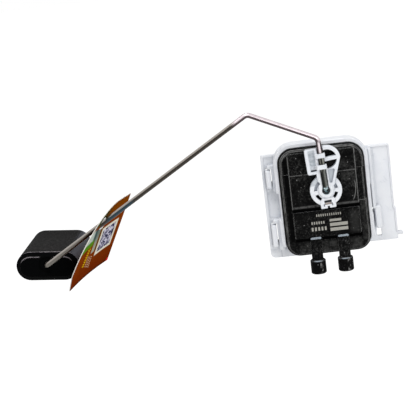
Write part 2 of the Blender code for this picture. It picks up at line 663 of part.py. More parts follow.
def make_cover():
    """Black cover: sloped rim, raised fields, grooves, pivot boss, and stems that end in round sockets."""
    cover = cover_shell(0, 0)
    field_left, field_right = LEFT + FIELD_MARGIN_LEFT, RIGHT - FIELD_MARGIN_RIGHT
    field_top, field_bottom = TOP - FIELD_MARGIN_TOP, BOTTOM + FIELD_MARGIN_BOTTOM
    upper_low = field_top - UPPER_FIELD
    lower_top = field_bottom + GROOVE_WIDTH + LOWER_FIELD
    middle_low = lower_top + GROOVE_WIDTH
    add(cover, prism(box_outline(field_left, field_right, upper_low, field_top, FIELD_CORNER),
                     Y_INNER - SINK, Y_FIELD, FIELD_EDGE))
    add(cover, prism(box_outline(field_left, field_right, middle_low, upper_low + SINK),
                     Y_INNER - 2 * SINK, Y_FACE - MIDDLE_FIELD_RISE))
    add(cover, prism(box_outline(field_left, field_right, field_bottom + GROOVE_WIDTH, lower_top, FIELD_CORNER),
                     Y_INNER - SINK, Y_FIELD, FIELD_EDGE))
    for low in (field_bottom, lower_top):
        groove = box_outline(field_left + FIELD_EDGE, field_right - FIELD_EDGE, low, low + GROOVE_WIDTH)
        cut(cover, prism(groove, Y_FACE + GROOVE_DEPTH, Y_FIELD - PAST))
    side_top = upper_low + SIDE_RECESS_ABOVE
    side = prism(box_outline(field_right, RIGHT + PAST, side_top - SIDE_RECESS_HEIGHT, side_top),
                 Y_FACE + 2 * RIM_DROP, Y_FACE - PAST)
    cut(side, cover_shell(COVER_EDGE, SIDE_RECESS_DEPTH))
    cut(cover, side)
    inset = RIM_WIDTH + FIELD_EDGE
    radius = COVER_CORNER - inset
    bend_x, bend_z = LEFT + COVER_CORNER, TOP - COVER_CORNER
    last = acos((field_left + SINK - bend_x) / radius)
    strip = [(LEFT + inset, side_top), (field_left + SINK, side_top)] + arc(bend_x, bend_z, radius, last, pi)
    add(cover, prism(strip, Y_INNER - SINK, Y_FACE - FIELD_RISE / 2, FIELD_EDGE / 2))

    stem_top = BOTTOM + STEM_RISE
    collar_top = BOTTOM - STEM_REACH
    mouth = collar_top - COLLAR_LENGTH
    for x in TERMINALS:
        add(cover, terminal_stem(x, collar_top - SINK, stem_top), terminal_collar(x, mouth, collar_top))
    cut(cover, prism(cover_outline(COVER_LAND), Y_COVER_RIM + PAST, Y_INNER))

    boss_hole = WIRE_DIAMETER / 2 + RUN_GAP + BUSH_WALL + SEAT_GAP
    boss_back = Y_BUSH_BACK + SEAT_GAP + BOSS_WALL
    add(cover, prism(circle(0, 0, boss_hole + BOSS_WALL, 32), boss_back, Y_INNER - SINK))
    cut(cover, prism(circle(0, 0, boss_hole, 32), Y_BUSH_BACK + SEAT_GAP, Y_FIELD - PAST))

    for x in TERMINALS:
        pin_hole = circle(x, Y_PIN, PIN_DIAMETER / 2 + RUN_GAP, 16)
        cut(cover, upright(circle(x, Y_PIN, SOCKET_DIAMETER / 2, 24), mouth - PAST, mouth + SOCKET_DEPTH),
            upright(pin_hole, mouth + SOCKET_DEPTH - PAST, BOTTOM + PIN_RISE + PIN_DIAMETER / 2 + RUN_GAP))
    return finish(cover, "sensor_cover", BLACK, 0.5)


def terminal_stem(x, bottom, top):
    """Square stem with softened edges, its top sloped back into the face."""
    half = STEM_WIDTH / 2
    back, front = Y_STEM + STEM_DEPTH, Y_STEM
    outline = rounded([(x - half, front, STEM_CORNER), (x + half, front, STEM_CORNER), (x + half, back, STEM_CORNER),
                       (x - half, back, STEM_CORNER)])
    loops = [[(px, py, bottom) for px, py in outline], [(px, py, top - STEM_BEVEL) for px, py in outline],
             [(px, back + (py - back) * (back - Y_FACE) / (back - front), top) for px, py in outline]]
    return loft("stem", loops)


def terminal_collar(x, bottom, top):
    """Round collar of a socket, chamfered at both ends."""
    edge = COLLAR_EDGE
    loops = []
    for z, radius in ((bottom, COLLAR_DIAMETER / 2 - edge), (bottom + edge, COLLAR_DIAMETER / 2),
                      (top - edge, COLLAR_DIAMETER / 2), (top, COLLAR_DIAMETER / 2 - edge)):
        loops.append([(px, py, z) for px, py in circle(x, Y_PIN, radius, 32)])
    return loft("collar", loops)


def make_terminals():
    """Bent pins from the board to the sockets, each with a rubber ring at the socket's bottom."""
    mouth = BOTTOM - STEM_REACH - COLLAR_LENGTH
    for x, side in zip(TERMINALS, ("left", "right")):
        corners = [(x, Y_PIN, mouth + PIN_RECESS, 0), (x, Y_PIN, BOTTOM + PIN_RISE, PIN_BEND),
                   (x, Y_BOARD_FRONT - SEAT_GAP, BOTTOM + PIN_RISE, 0)]
        finish(rod("pin", corners, PIN_DIAMETER, 3), "terminal_" + side, BRASS, 0.3, 1.0)
        inner, outer = PIN_DIAMETER / 2 + RUN_GAP, SOCKET_DIAMETER / 2 - RUN_GAP
        high = mouth + SOCKET_DEPTH - SEAT_GAP
        low = high - PIN_SEAL_LENGTH
        seal = turned("seal", [(inner, low), (outer, low), (outer, high), (inner, high)], "Z", (x, Y_PIN), 20)
        finish(seal, "terminal_seal_" + side, (0.35, 0.10, 0.05), 0.8)


def holder_body():
    """The holder's solid: disc, hub web with loop, box and stop yoke, before its windows are cut."""
    back = Y_HOLDER
    front = back - BODY_THICKNESS
    spread = acos((LOOP_RADIUS - HUB_RADIUS) / hypot(LOOP_X, LOOP_Z))
    along = atan2(LOOP_Z, LOOP_X)
    web = arc(LOOP_X, LOOP_Z, LOOP_RADIUS, along - spread, along + spread, radians(9))
    web += arc(0, 0, HUB_RADIUS, along + spread, along + 2 * pi - spread, radians(15))
    body = prism(web, back, front, 0.0002)
    wall = 0.0011
    box = rounded([(-BOX_LEFT, BOX_BOTTOM, wall), (LOOP_X, BOX_BOTTOM, 0), (LOOP_X, BOX_TOP, 0),
                   (-BOX_LEFT, BOX_TOP, wall)])
    disc = prism(circle(0, 0, DISC_RADIUS, 48), back, back - DISC_THICKNESS, 0.0002)
    half = YOKE_WIDTH / 2
    yoke = rounded([(-half, -YOKE_REACH, 0.0004), (half, -YOKE_REACH, 0.0004), (half, -HUB_RADIUS, 0),
                    (-half, -HUB_RADIUS, 0)])
    add(body, prism(box, back, front + SINK, 0.0002), disc,
        prism(yoke, back, back - DISC_THICKNESS - SINK, 0.0002))
    return body


def make_holder(axis):
    """White rotor that clips the wire: windows, slots, channel, magnet pocket and two hook fingers."""
    back = Y_HOLDER
    front = back - BODY_THICKNESS
    behind, before = back + PAST, front - PAST
    holder = holder_body()
    wire = WIRE_DIAMETER / 2 + RUN_GAP
    channel_top = LOOP_Z + LOOP_RADIUS + PAST

    window_radius = LOOP_RADIUS - LOOP_WALL
    window_left = wire - 0.0002
    reach = acos((window_left - LOOP_X) / window_radius)
    window = arc(LOOP_X, LOOP_Z, window_radius, -reach, reach)
    opening = prism(window, behind, before)
    half = STRUT_WIDTH / 2
    slope = tan(STRUT_TILT)
    low, high = window_left - PAST, LOOP_X + window_radius + PAST
    strut = [(low, LOOP_Z + (low - LOOP_X) * slope - half), (high, LOOP_Z + (high - LOOP_X) * slope - half),
             (high, LOOP_Z + (high - LOOP_X) * slope + half), (low, LOOP_Z + (low - LOOP_X) * slope + half)]
    cut(opening, prism(strut, behind + PAST, before - PAST))
    channel = box_outline(-wire, wire, 0, channel_top)
    cut(holder, opening, prism(channel, Y_CHANNEL, before - PAST / 4))

    inner_left, inner_right = -BOX_LEFT + BOX_WALL, -FINGER_LEFT
    recess = box_outline(inner_left, inner_right, FINGER_LOW + 0.0018, BOX_TOP - BOX_WALL, 0.0003)
    recess_floor = back - MAGNET_THICKNESS - 2 * SEAT_GAP - BOX_FLOOR
    cut(holder, prism(recess, recess_floor, before))
    slit = box_outline(inner_left, inner_right, FINGER_LOW - 0.0009, FINGER_LOW - 0.0001)
    cut(holder, prism(slit, behind, before))
    magnet_x = (inner_left + inner_right) / 2
    magnet_z = (FINGER_LOW + 0.0018 + BOX_TOP - BOX_WALL) / 2
    half_width, half_height = MAGNET_WIDTH / 2, MAGNET_HEIGHT / 2
    pocket = box_outline(magnet_x - half_width - SEAT_GAP, magnet_x + half_width + SEAT_GAP,
                         magnet_z - half_height - SEAT_GAP, magnet_z + half_height + SEAT_GAP, 0.0003)
    cut(holder, prism(pocket, behind, back - MAGNET_THICKNESS - 2 * SEAT_GAP))

    groove = rounded([(wire + 0.0007, 0.0035, 0.0003), (HUB_RADIUS - 0.0001, 0.0035, 0.0003),
                      (LOOP_X + window_radius * 0.66, LOOP_Z - LOOP_RADIUS * 0.78, 0.0006),
                      (wire + 0.0007, LOOP_Z - LOOP_RADIUS * 0.78, 0.0004)])
    cut(holder, prism(groove, front + 0.0008, before))
    mid = (SLOT_INNER + SLOT_OUTER) / 2
    blind = back - DISC_THICKNESS + 0.0012
    for start, end, floor in ((122, 176, blind), (3, 28, blind), (198, 235, behind), (-52, -18, behind)):
        slot = sector(SLOT_INNER, SLOT_OUTER, radians(start), radians(end))
        cut(holder, prism(slot, floor, before))
    half = YOKE_WINDOW / 2
    shelf = box_outline(-half, half, -mid - 0.0020, -mid)
    through = box_outline(-half, half, -mid - 0.0006, -mid + 0.0002)
    notch = box_outline(-NOTCH_WIDTH / 2, NOTCH_WIDTH / 2, -YOKE_REACH - PAST, -YOKE_REACH + 0.0009)
    cut(holder, prism(shelf, back - DISC_THICKNESS + 0.0010, before), prism(through, behind, before),
        prism(notch, behind, before))
    for side in (-1, 1):
        gap = box_outline(min(side * half, side * (half + 0.0005)), max(side * half, side * (half + 0.0005)),
                          -DISC_RADIUS - 0.0001, -DISC_RADIUS + 0.0013)
        cut(holder, prism(gap, back - DISC_THICKNESS + 0.0008, before))

    for low in (FINGER_LOW, FINGER_HIGH):
        add(holder, hook_finger(low, wire))
    ring_hole = RING_DIAMETER / 2 + SEAT_GAP
    cut(holder, prism(circle(0, 0, HUB_BORE / 2, 28), behind, before - PAST / 2),
        prism(circle(0, 0, ring_hole, 28), behind, back - RING_THICKNESS - 2 * SEAT_GAP))
    finish(holder, "arm_holder", WHITE, 0.4, parent=axis)

    outline = box_outline(magnet_x - half_width, magnet_x + half_width, magnet_z - half_height,
                          magnet_z + half_height, 0.0002)
    magnet = prism(outline, back - SEAT_GAP, back - SEAT_GAP - MAGNET_THICKNESS)
    finish(magnet, "magnet", (0.10, 0.10, 0.11), 0.4, 0.6, parent=axis)
    ring = washer("ring", RING_DIAMETER, WIRE_DIAMETER + 2 * SEAT_GAP, back - SEAT_GAP,
                  back - SEAT_GAP - RING_THICKNESS)
    finish(ring, "axle_ring", STEEL, 0.3, 1.0, parent=axis)


def hook_finger(low, wire):
    """Finger that leaves the box wall, arches over the wire and ends in a short lip beyond it."""
    crest = Y_WIRE - WIRE_DIAMETER / 2 - RUN_GAP
    front = crest - FINGER_WALL
    root = Y_CHANNEL + SINK
    right = wire + FINGER_LIP
    lip = Y_WIRE + WIRE_DIAMETER / 5
    section = [(-FINGER_LEFT, root), (-FINGER_LEFT, front + 0.0005), (-FINGER_LEFT + 0.0005, front),
               (right - 0.0005, front), (right, front + 0.0005), (right, lip - 0.0003), (wire, lip),
               (wire, crest), (-wire, crest), (-wire, root)]
    return upright(section, low, low + FINGER_LENGTH)


def arm_corners():
    """Corners of the wire in the holder's frame: axle, three legs and the end that carries the float."""
    x, z = 0.0, FIRST_LEG
    corners = [(0, Y_AXLE_END, 0, 0), (0, Y_WIRE, 0, END_BEND), (x, Y_WIRE, z, WIRE_BEND)]
    heading = pi / 2 + FIRST_TURN
    x, z = x + SECOND_LEG * cos(heading), z + SECOND_LEG * sin(heading)
    corners.append((x, Y_WIRE, z, WIRE_BEND))
    heading += SECOND_TURN
    x, z = x + THIRD_LEG * cos(heading), z + THIRD_LEG * sin(heading)
    corners.append((x, Y_WIRE, z, END_BEND))
    tail = Y_FLOAT + FLOAT_LENGTH + SEAT_GAP + WASHER_THICKNESS + WIRE_TAIL
    corners.append((x, tail, z, 0))
    return corners


def make_arm(axis):
    """Bent wire, its bush in the cover and the washer on its rear end."""
    corners = arm_corners()
    finish(rod("wire", corners, WIRE_DIAMETER), "float_arm", STEEL, 0.25, 1.0, parent=axis)
    inner = WIRE_DIAMETER / 2 + RUN_GAP
    outer = inner + BUSH_WALL
    bush = turned("bush", [(inner, Y_BUSH_BACK), (outer, Y_BUSH_BACK), (outer, Y_BUSH_FRONT),
                           (inner, Y_BUSH_FRONT)], "Y", (0, 0), 28)
    finish(bush, "pivot_bush", STEEL, 0.3, 1.0)
    end = corners[-1]
    back = Y_FLOAT + FLOAT_LENGTH + SEAT_GAP + WASHER_THICKNESS
    clip = washer("washer", WASHER_DIAMETER, WIRE_DIAMETER + 2 * SEAT_GAP, back, back - WASHER_THICKNESS,
                  (end[0], end[2]))
    finish(clip, "float_washer", STEEL, 0.3, 1.0, parent=axis)
    return corners


def make_float(axis, x, z):
    """Foam block of stadium section, chamfered at both ends, with a bore for the wire and a shallow eye."""
    pivot = axis_empty("float_axis", (x, 0, z), FLOAT_TILT, axis)
    radius = FLOAT_HEIGHT / 2
    straight = FLOAT_WIDTH / 2 - radius
    section = arc(straight, -FLOAT_DROP, radius, -pi / 2, pi / 2, radians(10))
    section += arc(-straight, -FLOAT_DROP, radius, pi / 2, 3 * pi / 2, radians(10))
    face, rear = inset_loop(section, FLOAT_CHAMFER), inset_loop(section, FLOAT_BACK_CHAMFER)
    front, back = Y_FLOAT, Y_FLOAT + FLOAT_LENGTH
    loops = [[(px, y, pz) for px, pz in outline] for outline, y in (
        (face, front), (section, front + FLOAT_CHAMFER), (section, back - FLOAT_BACK_CHAMFER), (rear, back))]
    block = loft("float", loops)
    bore = circle(0, 0, WIRE_DIAMETER / 2 + FLOAT_BORE_GAP, 28)
    cut(block, prism(bore, back + PAST, front - PAST),
        prism(circle(0, 0, FLOAT_EYE / 2, 32), front + FLOAT_EYE_DEPTH, front - PAST))
    finish(block, "float", (0.014, 0.014, 0.015), 0.75, parent=pivot)


def make_tag(axis, corners):
    """Printed card on the wire: slightly bowed, with a bulged left edge, a curved shoulder and a round hole."""
    start, end = Vector(corners[3][:3]), Vector(corners[4][:3])
    columns = 30
    hole_z = TAG_HEIGHT - TAG_HOLE_DROP
    loops = []
    for i in range(columns + 1):
        x = TAG_WIDTH - (TAG_WIDTH + TAG_BULGE * 0.97) * (1 - i / columns)
        near = max(0.0, 1 - (x + TAG_BULGE) / TAG_SHOULDER)
        rise = (1 - near ** TAG_SHOULDER_POWER) ** (1 / TAG_SHOULDER_POWER)
        top = TAG_BULGE_HEIGHT + (TAG_HEIGHT - TAG_BULGE_HEIGHT) * rise - hole_z
        low = max(0.0, -x / TAG_BULGE) * TAG_BULGE_HEIGHT - hole_z
        bow = -TAG_BOW * (2 * x / TAG_WIDTH - 1) ** 2
        back, front = bow + TAG_THICKNESS / 2, bow - TAG_THICKNESS / 2
        left = x - TAG_HOLE_X
        loops.append([(left, front, low), (left, back, low), (left, back, top), (left, front, top)])
    card = loft("card", loops)
    cut(card, prism(circle(0, 0, TAG_HOLE / 2, 32), TAG_THICKNESS + PAST, -TAG_BOW - PAST))
    card.location = start + (end - start) * TAG_ALONG
    card.rotation_euler = TAG_TURN
    finish(card, "hang_tag", (0.40, 0.08, 0.01), 0.45, parent=axis)


def main():
    for obj in list(bpy.data.objects):
        bpy.data.objects.remove(obj)
    arm_axis = axis_empty("arm_axis", (0, 0, 0), -REST_LEAN)
    make_bracket()
    make_base()
    make_seal()
    make_board()
    make_comb()
    make_cover()
    make_terminals()
    make_holder(arm_axis)
    corners = make_arm(arm_axis)
    make_float(arm_axis, corners[-1][0], corners[-1][2])
    make_tag(arm_axis, corners)


main()
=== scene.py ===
"""Looks, light and camera for the fuel level sender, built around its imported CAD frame."""

from math import cos, radians, sin

import bpy
from mathutils import Euler, Matrix, Vector


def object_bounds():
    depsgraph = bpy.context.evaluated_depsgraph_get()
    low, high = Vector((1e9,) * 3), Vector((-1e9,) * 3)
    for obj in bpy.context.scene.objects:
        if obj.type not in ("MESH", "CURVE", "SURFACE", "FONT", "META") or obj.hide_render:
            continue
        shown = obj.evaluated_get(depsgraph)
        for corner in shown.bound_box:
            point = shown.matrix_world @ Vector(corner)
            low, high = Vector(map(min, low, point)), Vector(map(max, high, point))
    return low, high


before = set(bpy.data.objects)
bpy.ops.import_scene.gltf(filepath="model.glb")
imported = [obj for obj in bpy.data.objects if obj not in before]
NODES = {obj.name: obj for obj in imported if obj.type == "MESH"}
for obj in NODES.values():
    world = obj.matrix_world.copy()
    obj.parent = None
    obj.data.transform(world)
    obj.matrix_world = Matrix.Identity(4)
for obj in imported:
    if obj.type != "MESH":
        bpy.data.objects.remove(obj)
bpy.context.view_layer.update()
MILLI = 0.001
X, Y, Z = 0, 1, 2

# The camera stands where the photograph was taken from. Angles are in degrees.
CAMERA_PLACE = (-0.02994, -0.56108, 0.11177)
CAMERA_YAW = -2.825
CAMERA_PITCH = 11.869
CAMERA_ROLL = -7.163
CAMERA_LENS = 98.5714
CAMERA_NEAR = 0.01
SENSOR_WIDTH = 36.0

FLOOR_DROP = 0.11
FLOOR_SPREAD = 30.0
FLOOR_GLOW = 1.3
FLOOR_LIFT = 0.7
FLOOR_PALE = (0.90, 0.90, 0.90)
FLOOR_PALER = (0.92, 0.92, 0.92)
SKY_WHITE = (1.0, 1.0, 1.0, 1.0)
SKY_SEEN = 1.0
SKY_LIGHT = 0.45

LAMP_AIM = (-0.05, 0.0, 0.0)
KEY_PLACE = (-0.22, -0.30, 0.90)
KEY_SIZE = 0.45
KEY_POWER = 5.0
FILL_PLACE = (0.45, -0.75, 0.25)
FILL_SIZE = 0.6
FILL_POWER = 2.2

# Noises are (scale, detail, roughness), with the scale per millimetre.
# Areas are (left, right, bottom, top) in millimetres, seen from the front.
# Pairs that end in FROM_TO are the values at which a mask is 0 and 1.
# Names that end in SOFT are the width of a soft edge, and in SHARE how much is mixed in.
NOISE_MIDDLE = (0.3, 0.7)
EDGE_FROM_TO = (0.98, 0.72)
CORNER_FROM_TO = (0.95, 0.35)
EDGE_SAMPLES = 6
CORNER_SAMPLES = 8
DASH_SOFT = 0.1
DASH_GAP = 0.08
DASH_END_SOFT = 0.06
BUMP_FINE = 0.05 * MILLI

MILK_CLOUDS = (0.09, 4.0, 0.6)
MILK_GRAIN = (5.0, 3.0, 0.6)
MILK_SMUDGES = (0.35, 5.0, 0.7)
SMUDGE_SHADE = 0.25
# Tone of the smudges, and painted shade in the corners.
SMUDGE_AND_CORNER_SHADE = (0.36, 0.39, 0.45)
CORNER_SHADE_REACH = 2.2 * MILLI
# Lighter edges: partly wear, partly painted highlight.
EDGE_WEAR_AND_HIGHLIGHT = (0.90, 0.91, 0.93)
EDGE_WEAR_AND_HIGHLIGHT_SHARE = 0.45
MILK_DEPTH = (0.002, 0.002, 0.002)

BRACKET_LIGHT = (0.85, 0.865, 0.895)
BRACKET_SHADE = (0.79, 0.81, 0.85)
HOLDER_LIGHT = (0.88, 0.90, 0.94)
HOLDER_SHADE = (0.82, 0.85, 0.90)
# Painted shade on the holder's sunk floors.
HOLDER_FLOOR_SHADE = (0.42, 0.46, 0.50)
# Painted shade in the stop yoke's openings.
HOLDER_OPENING_SHADE = (0.03, 0.03, 0.035)
HOLDER_BEIGE = (0.60, 0.53, 0.48)
HUB_GLEAM = (0.62, 0.78, 0.82)
HOLDER_TURN = (0, radians(3.4), 0)
HUB_FROM_TO = (2.5, 2.2)
YOKE_WINDOW = (-1.9, 1.9, -6.2, -5.0)
YOKE_INNER = (-1.5, 1.5, -7.2, -6.3)
YOKE_NOTCH = (-0.55, 0.55, -9.2, -7.7)
YOKE_SOFT = 0.15
NOTCH_SOFT = 0.12
YOKE_DEPTH_FROM_TO = (-15.2, -14.9)
WEB_SLANT = 0.387
WEB_START = 4.0
WEB_DEPTH_FROM_TO = (-15.9, -15.5)
WEB_HEIGHT = (3.0, 15.0)
MAGNET_BOX = (-5.9, -2.7, 10.0, 20.5)
BOX_DEPTH_FROM_TO = (-16.1, -15.8)
BOX_CLOUDS = (0.6, 3.0, 0.6)
SLOT_DEPTH_FROM_TO = (-14.6, -14.3)
SLOT_HEIGHT_FROM_TO = (-5.7, -5.2)
SLOT_SHARE = 0.6

BLACK_MOTTLE = (1.1, 7.0, 0.78)
BLACK_CLOUDS = (0.11, 4.0, 0.6)
# Patches that break up the painted highlights and the painted light on top.
BLACK_HIGHLIGHT_PATCHES = (0.35, 4.0, 0.7)
SPECK_SCALE = 0.42
SPECK_CLOUDS = (0.13, 3.0, 0.6)
BLACK_DARK = (0.0030, 0.0030, 0.0031)
BLACK_PALE = (0.062, 0.062, 0.060)
BLACK_SPECK = (0.36, 0.36, 0.35)
# Painted highlight on edges, rim steps, field edges and sockets; also the tone of the faint arc.
BLACK_LINE_AND_HIGHLIGHT = (0.27, 0.27, 0.265)
# Painted sky light on upward faces.
BLACK_SKY = (0.055, 0.057, 0.062)
# Painted shadow beside the field.
BLACK_DEEP = (0.0012, 0.0012, 0.0013)
# Painted shade in grooves and corners.
BLACK_GROOVE_SHADE = (0.0005, 0.0005, 0.0006)
BLACK_GLOSS = 0.015
SOCKET_FROM_TO = (-34.8, -33.8)
GROOVE_SHADE_REACH = 1.5 * MILLI

# Painted shade on the rim's slopes, and painted highlight lines on its steps.
RIM_SLOPE_FROM_TO = (-0.97, -0.9)
RIM_FOOT_FROM_TO = (-31.0, -27.0)
RIM_SIDE_FROM_TO = (17.8, 18.2)
RIM_TOP_FROM_TO = (17.6, 18.0)
RIM_SHADE_SHARE = 0.85
RIM_OUTER_STEP = (-11.75, -11.4)
RIM_INNER_STEP = (-10.8, -10.4)
RIM_STEP_SOFT = 0.12
RIM_PATCHES = (0.25, 4.0, 0.7)
FIELD_SHADOW = (-19.4, -17.4, -24.5, 16.5)
FIELD_SHADOW_SOFT = 0.35
FIELD_SHADOW_CLOUDS = (0.5, 3.0, 0.6)
DUSTY_MIDDLE = (8.5, 14.6, 2.5, 7.4)
DUSTY_MIDDLE_SOFT = 1.2
DUSTY_UPPER = (1.0, 12.0, 9.5, 13.5)
DUSTY_UPPER_SOFT = 1.5
DUSTY_CLOUDS = (0.45, 6.0, 0.75)
DUSTY_LOWER = (10.5, 14.5, -22.5, -12.0)
DUSTY_LOWER_SOFT = 1.4
DUSTY_LOWER_SHARE = 0.3
RIM_RIGHT = (16.2, 18.8, -27.0, -8.0)
RIM_BOTTOM = (-15.0, 15.0, -31.5, -26.0)
RIM_LOW_SOFT = 0.8
RIM_LOW_DEPTH_FROM_TO = (-12.2, -12.05)
RIM_CLOUDS = (0.3, 5.0, 0.75)
# Painted highlight lines along the fields' edges: area, soft edge and share.
FIELD_EDGE_HIGHLIGHTS = (
    ((15.1, 15.6, -8.3, 18.6), 0.15, 1.0),
    ((-17.2, -16.8, -8.3, 18.0), 0.12, 0.6),
    ((-16.6, 15.1, 7.9, 8.3), 0.15, 0.5),
    ((-16.6, 15.1, -8.3, -7.3), 0.3, 0.35),
)
FIELD_EDGE_HIGHLIGHT_RAGGED = (0.7, 6.0, 0.75)
UPPER_GROOVE = (-17.1, 15.7, -10.15, -8.6)
LOWER_GROOVE = (-17.1, 15.7, -25.0, -23.35)
GROOVE_SOFT = 0.12
GROOVE_DEPTH_FROM_TO = (-13.0, -12.6)

PRINT_TONE = (0.42, 0.41, 0.37)
PRINT_SOFT = 0.1
PRINT_DEPTH_FROM_TO = (-12.1, -12.4)
PRINT_WEAR = (2.4, 4.0, 0.7)
PRINT_BARS = (
    (0.3, 9.0, -21.0, -19.4),
    (0.3, 9.0, -18.6, -17.0),
    (0.3, 6.0, -16.2, -15.0),
)
# Rows of dashes: area, pitch and filled share.
PRINT_ROWS = (
    ((-8.9, -1.0, -20.2, -18.4), 1.6, 0.62),
    ((-8.7, -1.8, -16.9, -15.6), 1.15, 0.6),
    ((-6.0, 6.6, -13.2, -12.0), 1.05, 0.55),
)
BEVEL_SHINE = (0.32, 0.365, 0.41)
BEVEL_CLOUDS = (1.1, 3.0, 0.6)
STEM_TOP_FROM_TO = (-21.5, -22.5)
COLLAR_FROM_TO = (-33.0, -34.0)
SOCKET_GLEAM_FROM_TO = (-34.0, -35.0)
SOCKET_CLOUDS = (0.8, 3.0, 0.6)
ARC_RADIUS = (14.35, 14.7)
ARC_SOFT = 0.1
ARC_AREA = (9.0, 16.0, -6.5, 2.5)
ARC_AREA_SOFT = 0.8
ARC_SHARE = 0.6

METAL_MARKS = (5.0, 4.0, 0.7)
METAL_CLOUDS = (0.25, 4.0, 0.65)
METAL_RIM = (0.5, 0.5, 0.5, 1.0)
WIRE_LIGHT = (0.74, 0.66, 0.69)
WIRE_CLOUD = (0.66, 0.58, 0.61)
# From here to WIRE_GLINTS: painted light, shade and reflection on the wire, chosen by its surface's
# direction.
WIRE_TOP = (0.50, 0.47, 0.44)
WIRE_SIDE = (0.31, 0.28, 0.255)
WIRE_LOW = (0.22, 0.20, 0.175)
WIRE_LINE = (0.68, 0.62, 0.64)
WIRE_SHADE = (0.085, 0.066, 0.070)
WIRE_DARK = (0.022, 0.023, 0.021)
WIRE_GREY = (0.16, 0.165, 0.155)
WIRE_LIT = (0.34, 0.34, 0.30)
WIRE_CARD_REFLECTION = (0.028, 0.050, 0.066)
WIRE_DUSK = (0.15, 0.14, 0.125)
WIRE_UNDER = (0.040, 0.035, 0.030)
WIRE_GLINTS = (1.5, 3.0, 0.7)
OVER_FLOAT_FROM_TO = (-117.0, -122.0)
OVER_CARD = (-107.0, -93.0)
OVER_CARD_SOFT = 2.0
LONG_TO_SHORT_LEG = (-40.0, -37.0)
BEND_FROM_TO = (2.3, 1.6)
CHANNEL_FROM_TO = (9.0, 11.0)
ABOVE_HOOKS_FROM_TO = (17.0, 20.0)
UPRIGHT_LEG = (-2.4, 2.4, -3.0, 24.2)
UPRIGHT_SOFT = 0.9

SEAL_DARK = (0.02, 0.02, 0.022)
SEAL_PALE = (0.035, 0.035, 0.037)
RED_DARK = (0.33, 0.09, 0.05)
RED_PALE = (0.40, 0.14, 0.08)
BRASS_LIGHT = (0.66, 0.50, 0.25)
BRASS_DARK = (0.56, 0.42, 0.20)
STEEL_LIGHT = (0.66, 0.64, 0.62)
STEEL_DARK = (0.54, 0.53, 0.52)
# Near-black steel tones for the axle ring: painted shade in the hub's bore.
AXLE_SHADE_LIGHT = (0.10, 0.11, 0.12)
AXLE_SHADE_DARK = (0.05, 0.05, 0.055)
MAGNET_LIGHT = (0.16, 0.16, 0.17)
MAGNET_DARK = (0.10, 0.10, 0.11)
CERAMIC_LIGHT = (0.70, 0.71, 0.68)
CERAMIC_SHADE = (0.62, 0.63, 0.60)
FILM_LIGHT = (0.55, 0.32, 0.08)
FILM_SHADE = (0.46, 0.25, 0.05)
RUBBER_DUST = (0.6, 4.0, 0.65)
RUBBER_GRAIN = (7.0, 2.0, 0.6)
CERAMIC_GRAIN = (2.0, 4.0, 0.7)
FILM_CLOUDS = (0.4, 3.0, 0.6)

FLOAT_EYE = (-0.1404, 0.0, -0.021578)
FLOAT_FRONT = -13.25
FOAM_CELL_SCALE = 2.2
FOAM_MOTTLE = (0.75, 6.0, 0.75)
# Patches that break up the painted highlight lines.
FOAM_HIGHLIGHT_PATCHES = (0.22, 4.0, 0.7)
FOAM_SPECKS = (1.6, 4.0, 0.7)
FOAM_SPECK_SHARE = 0.7
FOAM_SKIN = (0.0085, 0.0085, 0.0083)
FOAM_DUST = (0.036, 0.035, 0.035)
# Painted sheen on the right flank.
FOAM_FLANK_SHEEN = (0.100, 0.104, 0.120)
# Near-black ends: partly a smoother cut face, partly painted shade.
FOAM_END = (0.0015, 0.0016, 0.0018)
# Painted highlight lines on the edges.
FOAM_HIGHLIGHT = (0.50, 0.46, 0.49)
EYE_FROM_TO = (6.0, 5.6)
EYE_CLEAR_FROM_TO = (5.0, 5.8)
EDGE_HEIGHT_FROM_TO = (2.5, 5.0)
BACK_DARKER_FROM_TO = (20.0, 50.0)
CHAMFER_FACING = (-0.9, -0.45)
CHAMFER_LINE = (1.9, 2.7)
FRONT_LINE = (0.0, 0.3)
FRONT_LINE_SHARE = 0.45

CARD_PLACE = (-0.109622, -0.01625, -0.003448)
CARD_TURN = (radians(30.205), radians(-5.495), radians(69.573))
CARD_BLOTS = (0.16, 4.0, 0.65)
CARD_FINE = (1.3, 4.0, 0.7)
CARD_INK = (0.250, 0.044, 0.003)
CARD_INK_DEEP = (0.185, 0.034, 0.0025)
CARD_LOW = (0.155, 0.018, 0.002)
CARD_TIP = (0.045, 0.010, 0.004)
CARD_TOP = (0.215, 0.052, 0.002)
CARD_SHOULDER = (0.055, 0.070, 0.022)
CARD_SHOULDER_SLANT = -0.6
# Plain fields of colour, in the order of painting: area, soft edge and colour.
CARD_FIELDS = (
    ((0.3, 2.9, -17.0, -3.0), 0.3, (0.155, 0.060, 0.009)),
    ((-30.0, -0.1, -9.0, -1.5), 0.9, (0.060, 0.105, 0.105)),
    ((-30.0, -6.9, -7.6, -1.0), 1.0, (0.50, 0.57, 0.50)),
)
CARD_STRIP = (-3.4, 0.1, -16.5, -2.6)
CARD_STRIP_SOFT = 0.35
CARD_STRIP_UPPER = (0.17, 0.21, 0.17)
CARD_STRIP_LOWER = (0.40, 0.41, 0.33)
CARD_GREEN = (0.10, 0.26, 0.012)
CARD_GREEN_AREA = (-30.0, -4.6, -10.8, -7.2)
CARD_GREEN_SOFT = 0.8
CARD_SHEAR = 0.36
CARD_SLANT = -0.19
CARD_GOLD = (0.82, 0.52, 0.012)
CARD_GOLD_ROWS = (
    ((-25.3, -14.4, -5.7, -4.5), 1.35, 0.66),
    ((-25.3, -13.6, -4.2, -3.0), 1.15, 0.62),
)
CARD_PALE = (0.62, 0.42, 0.27)
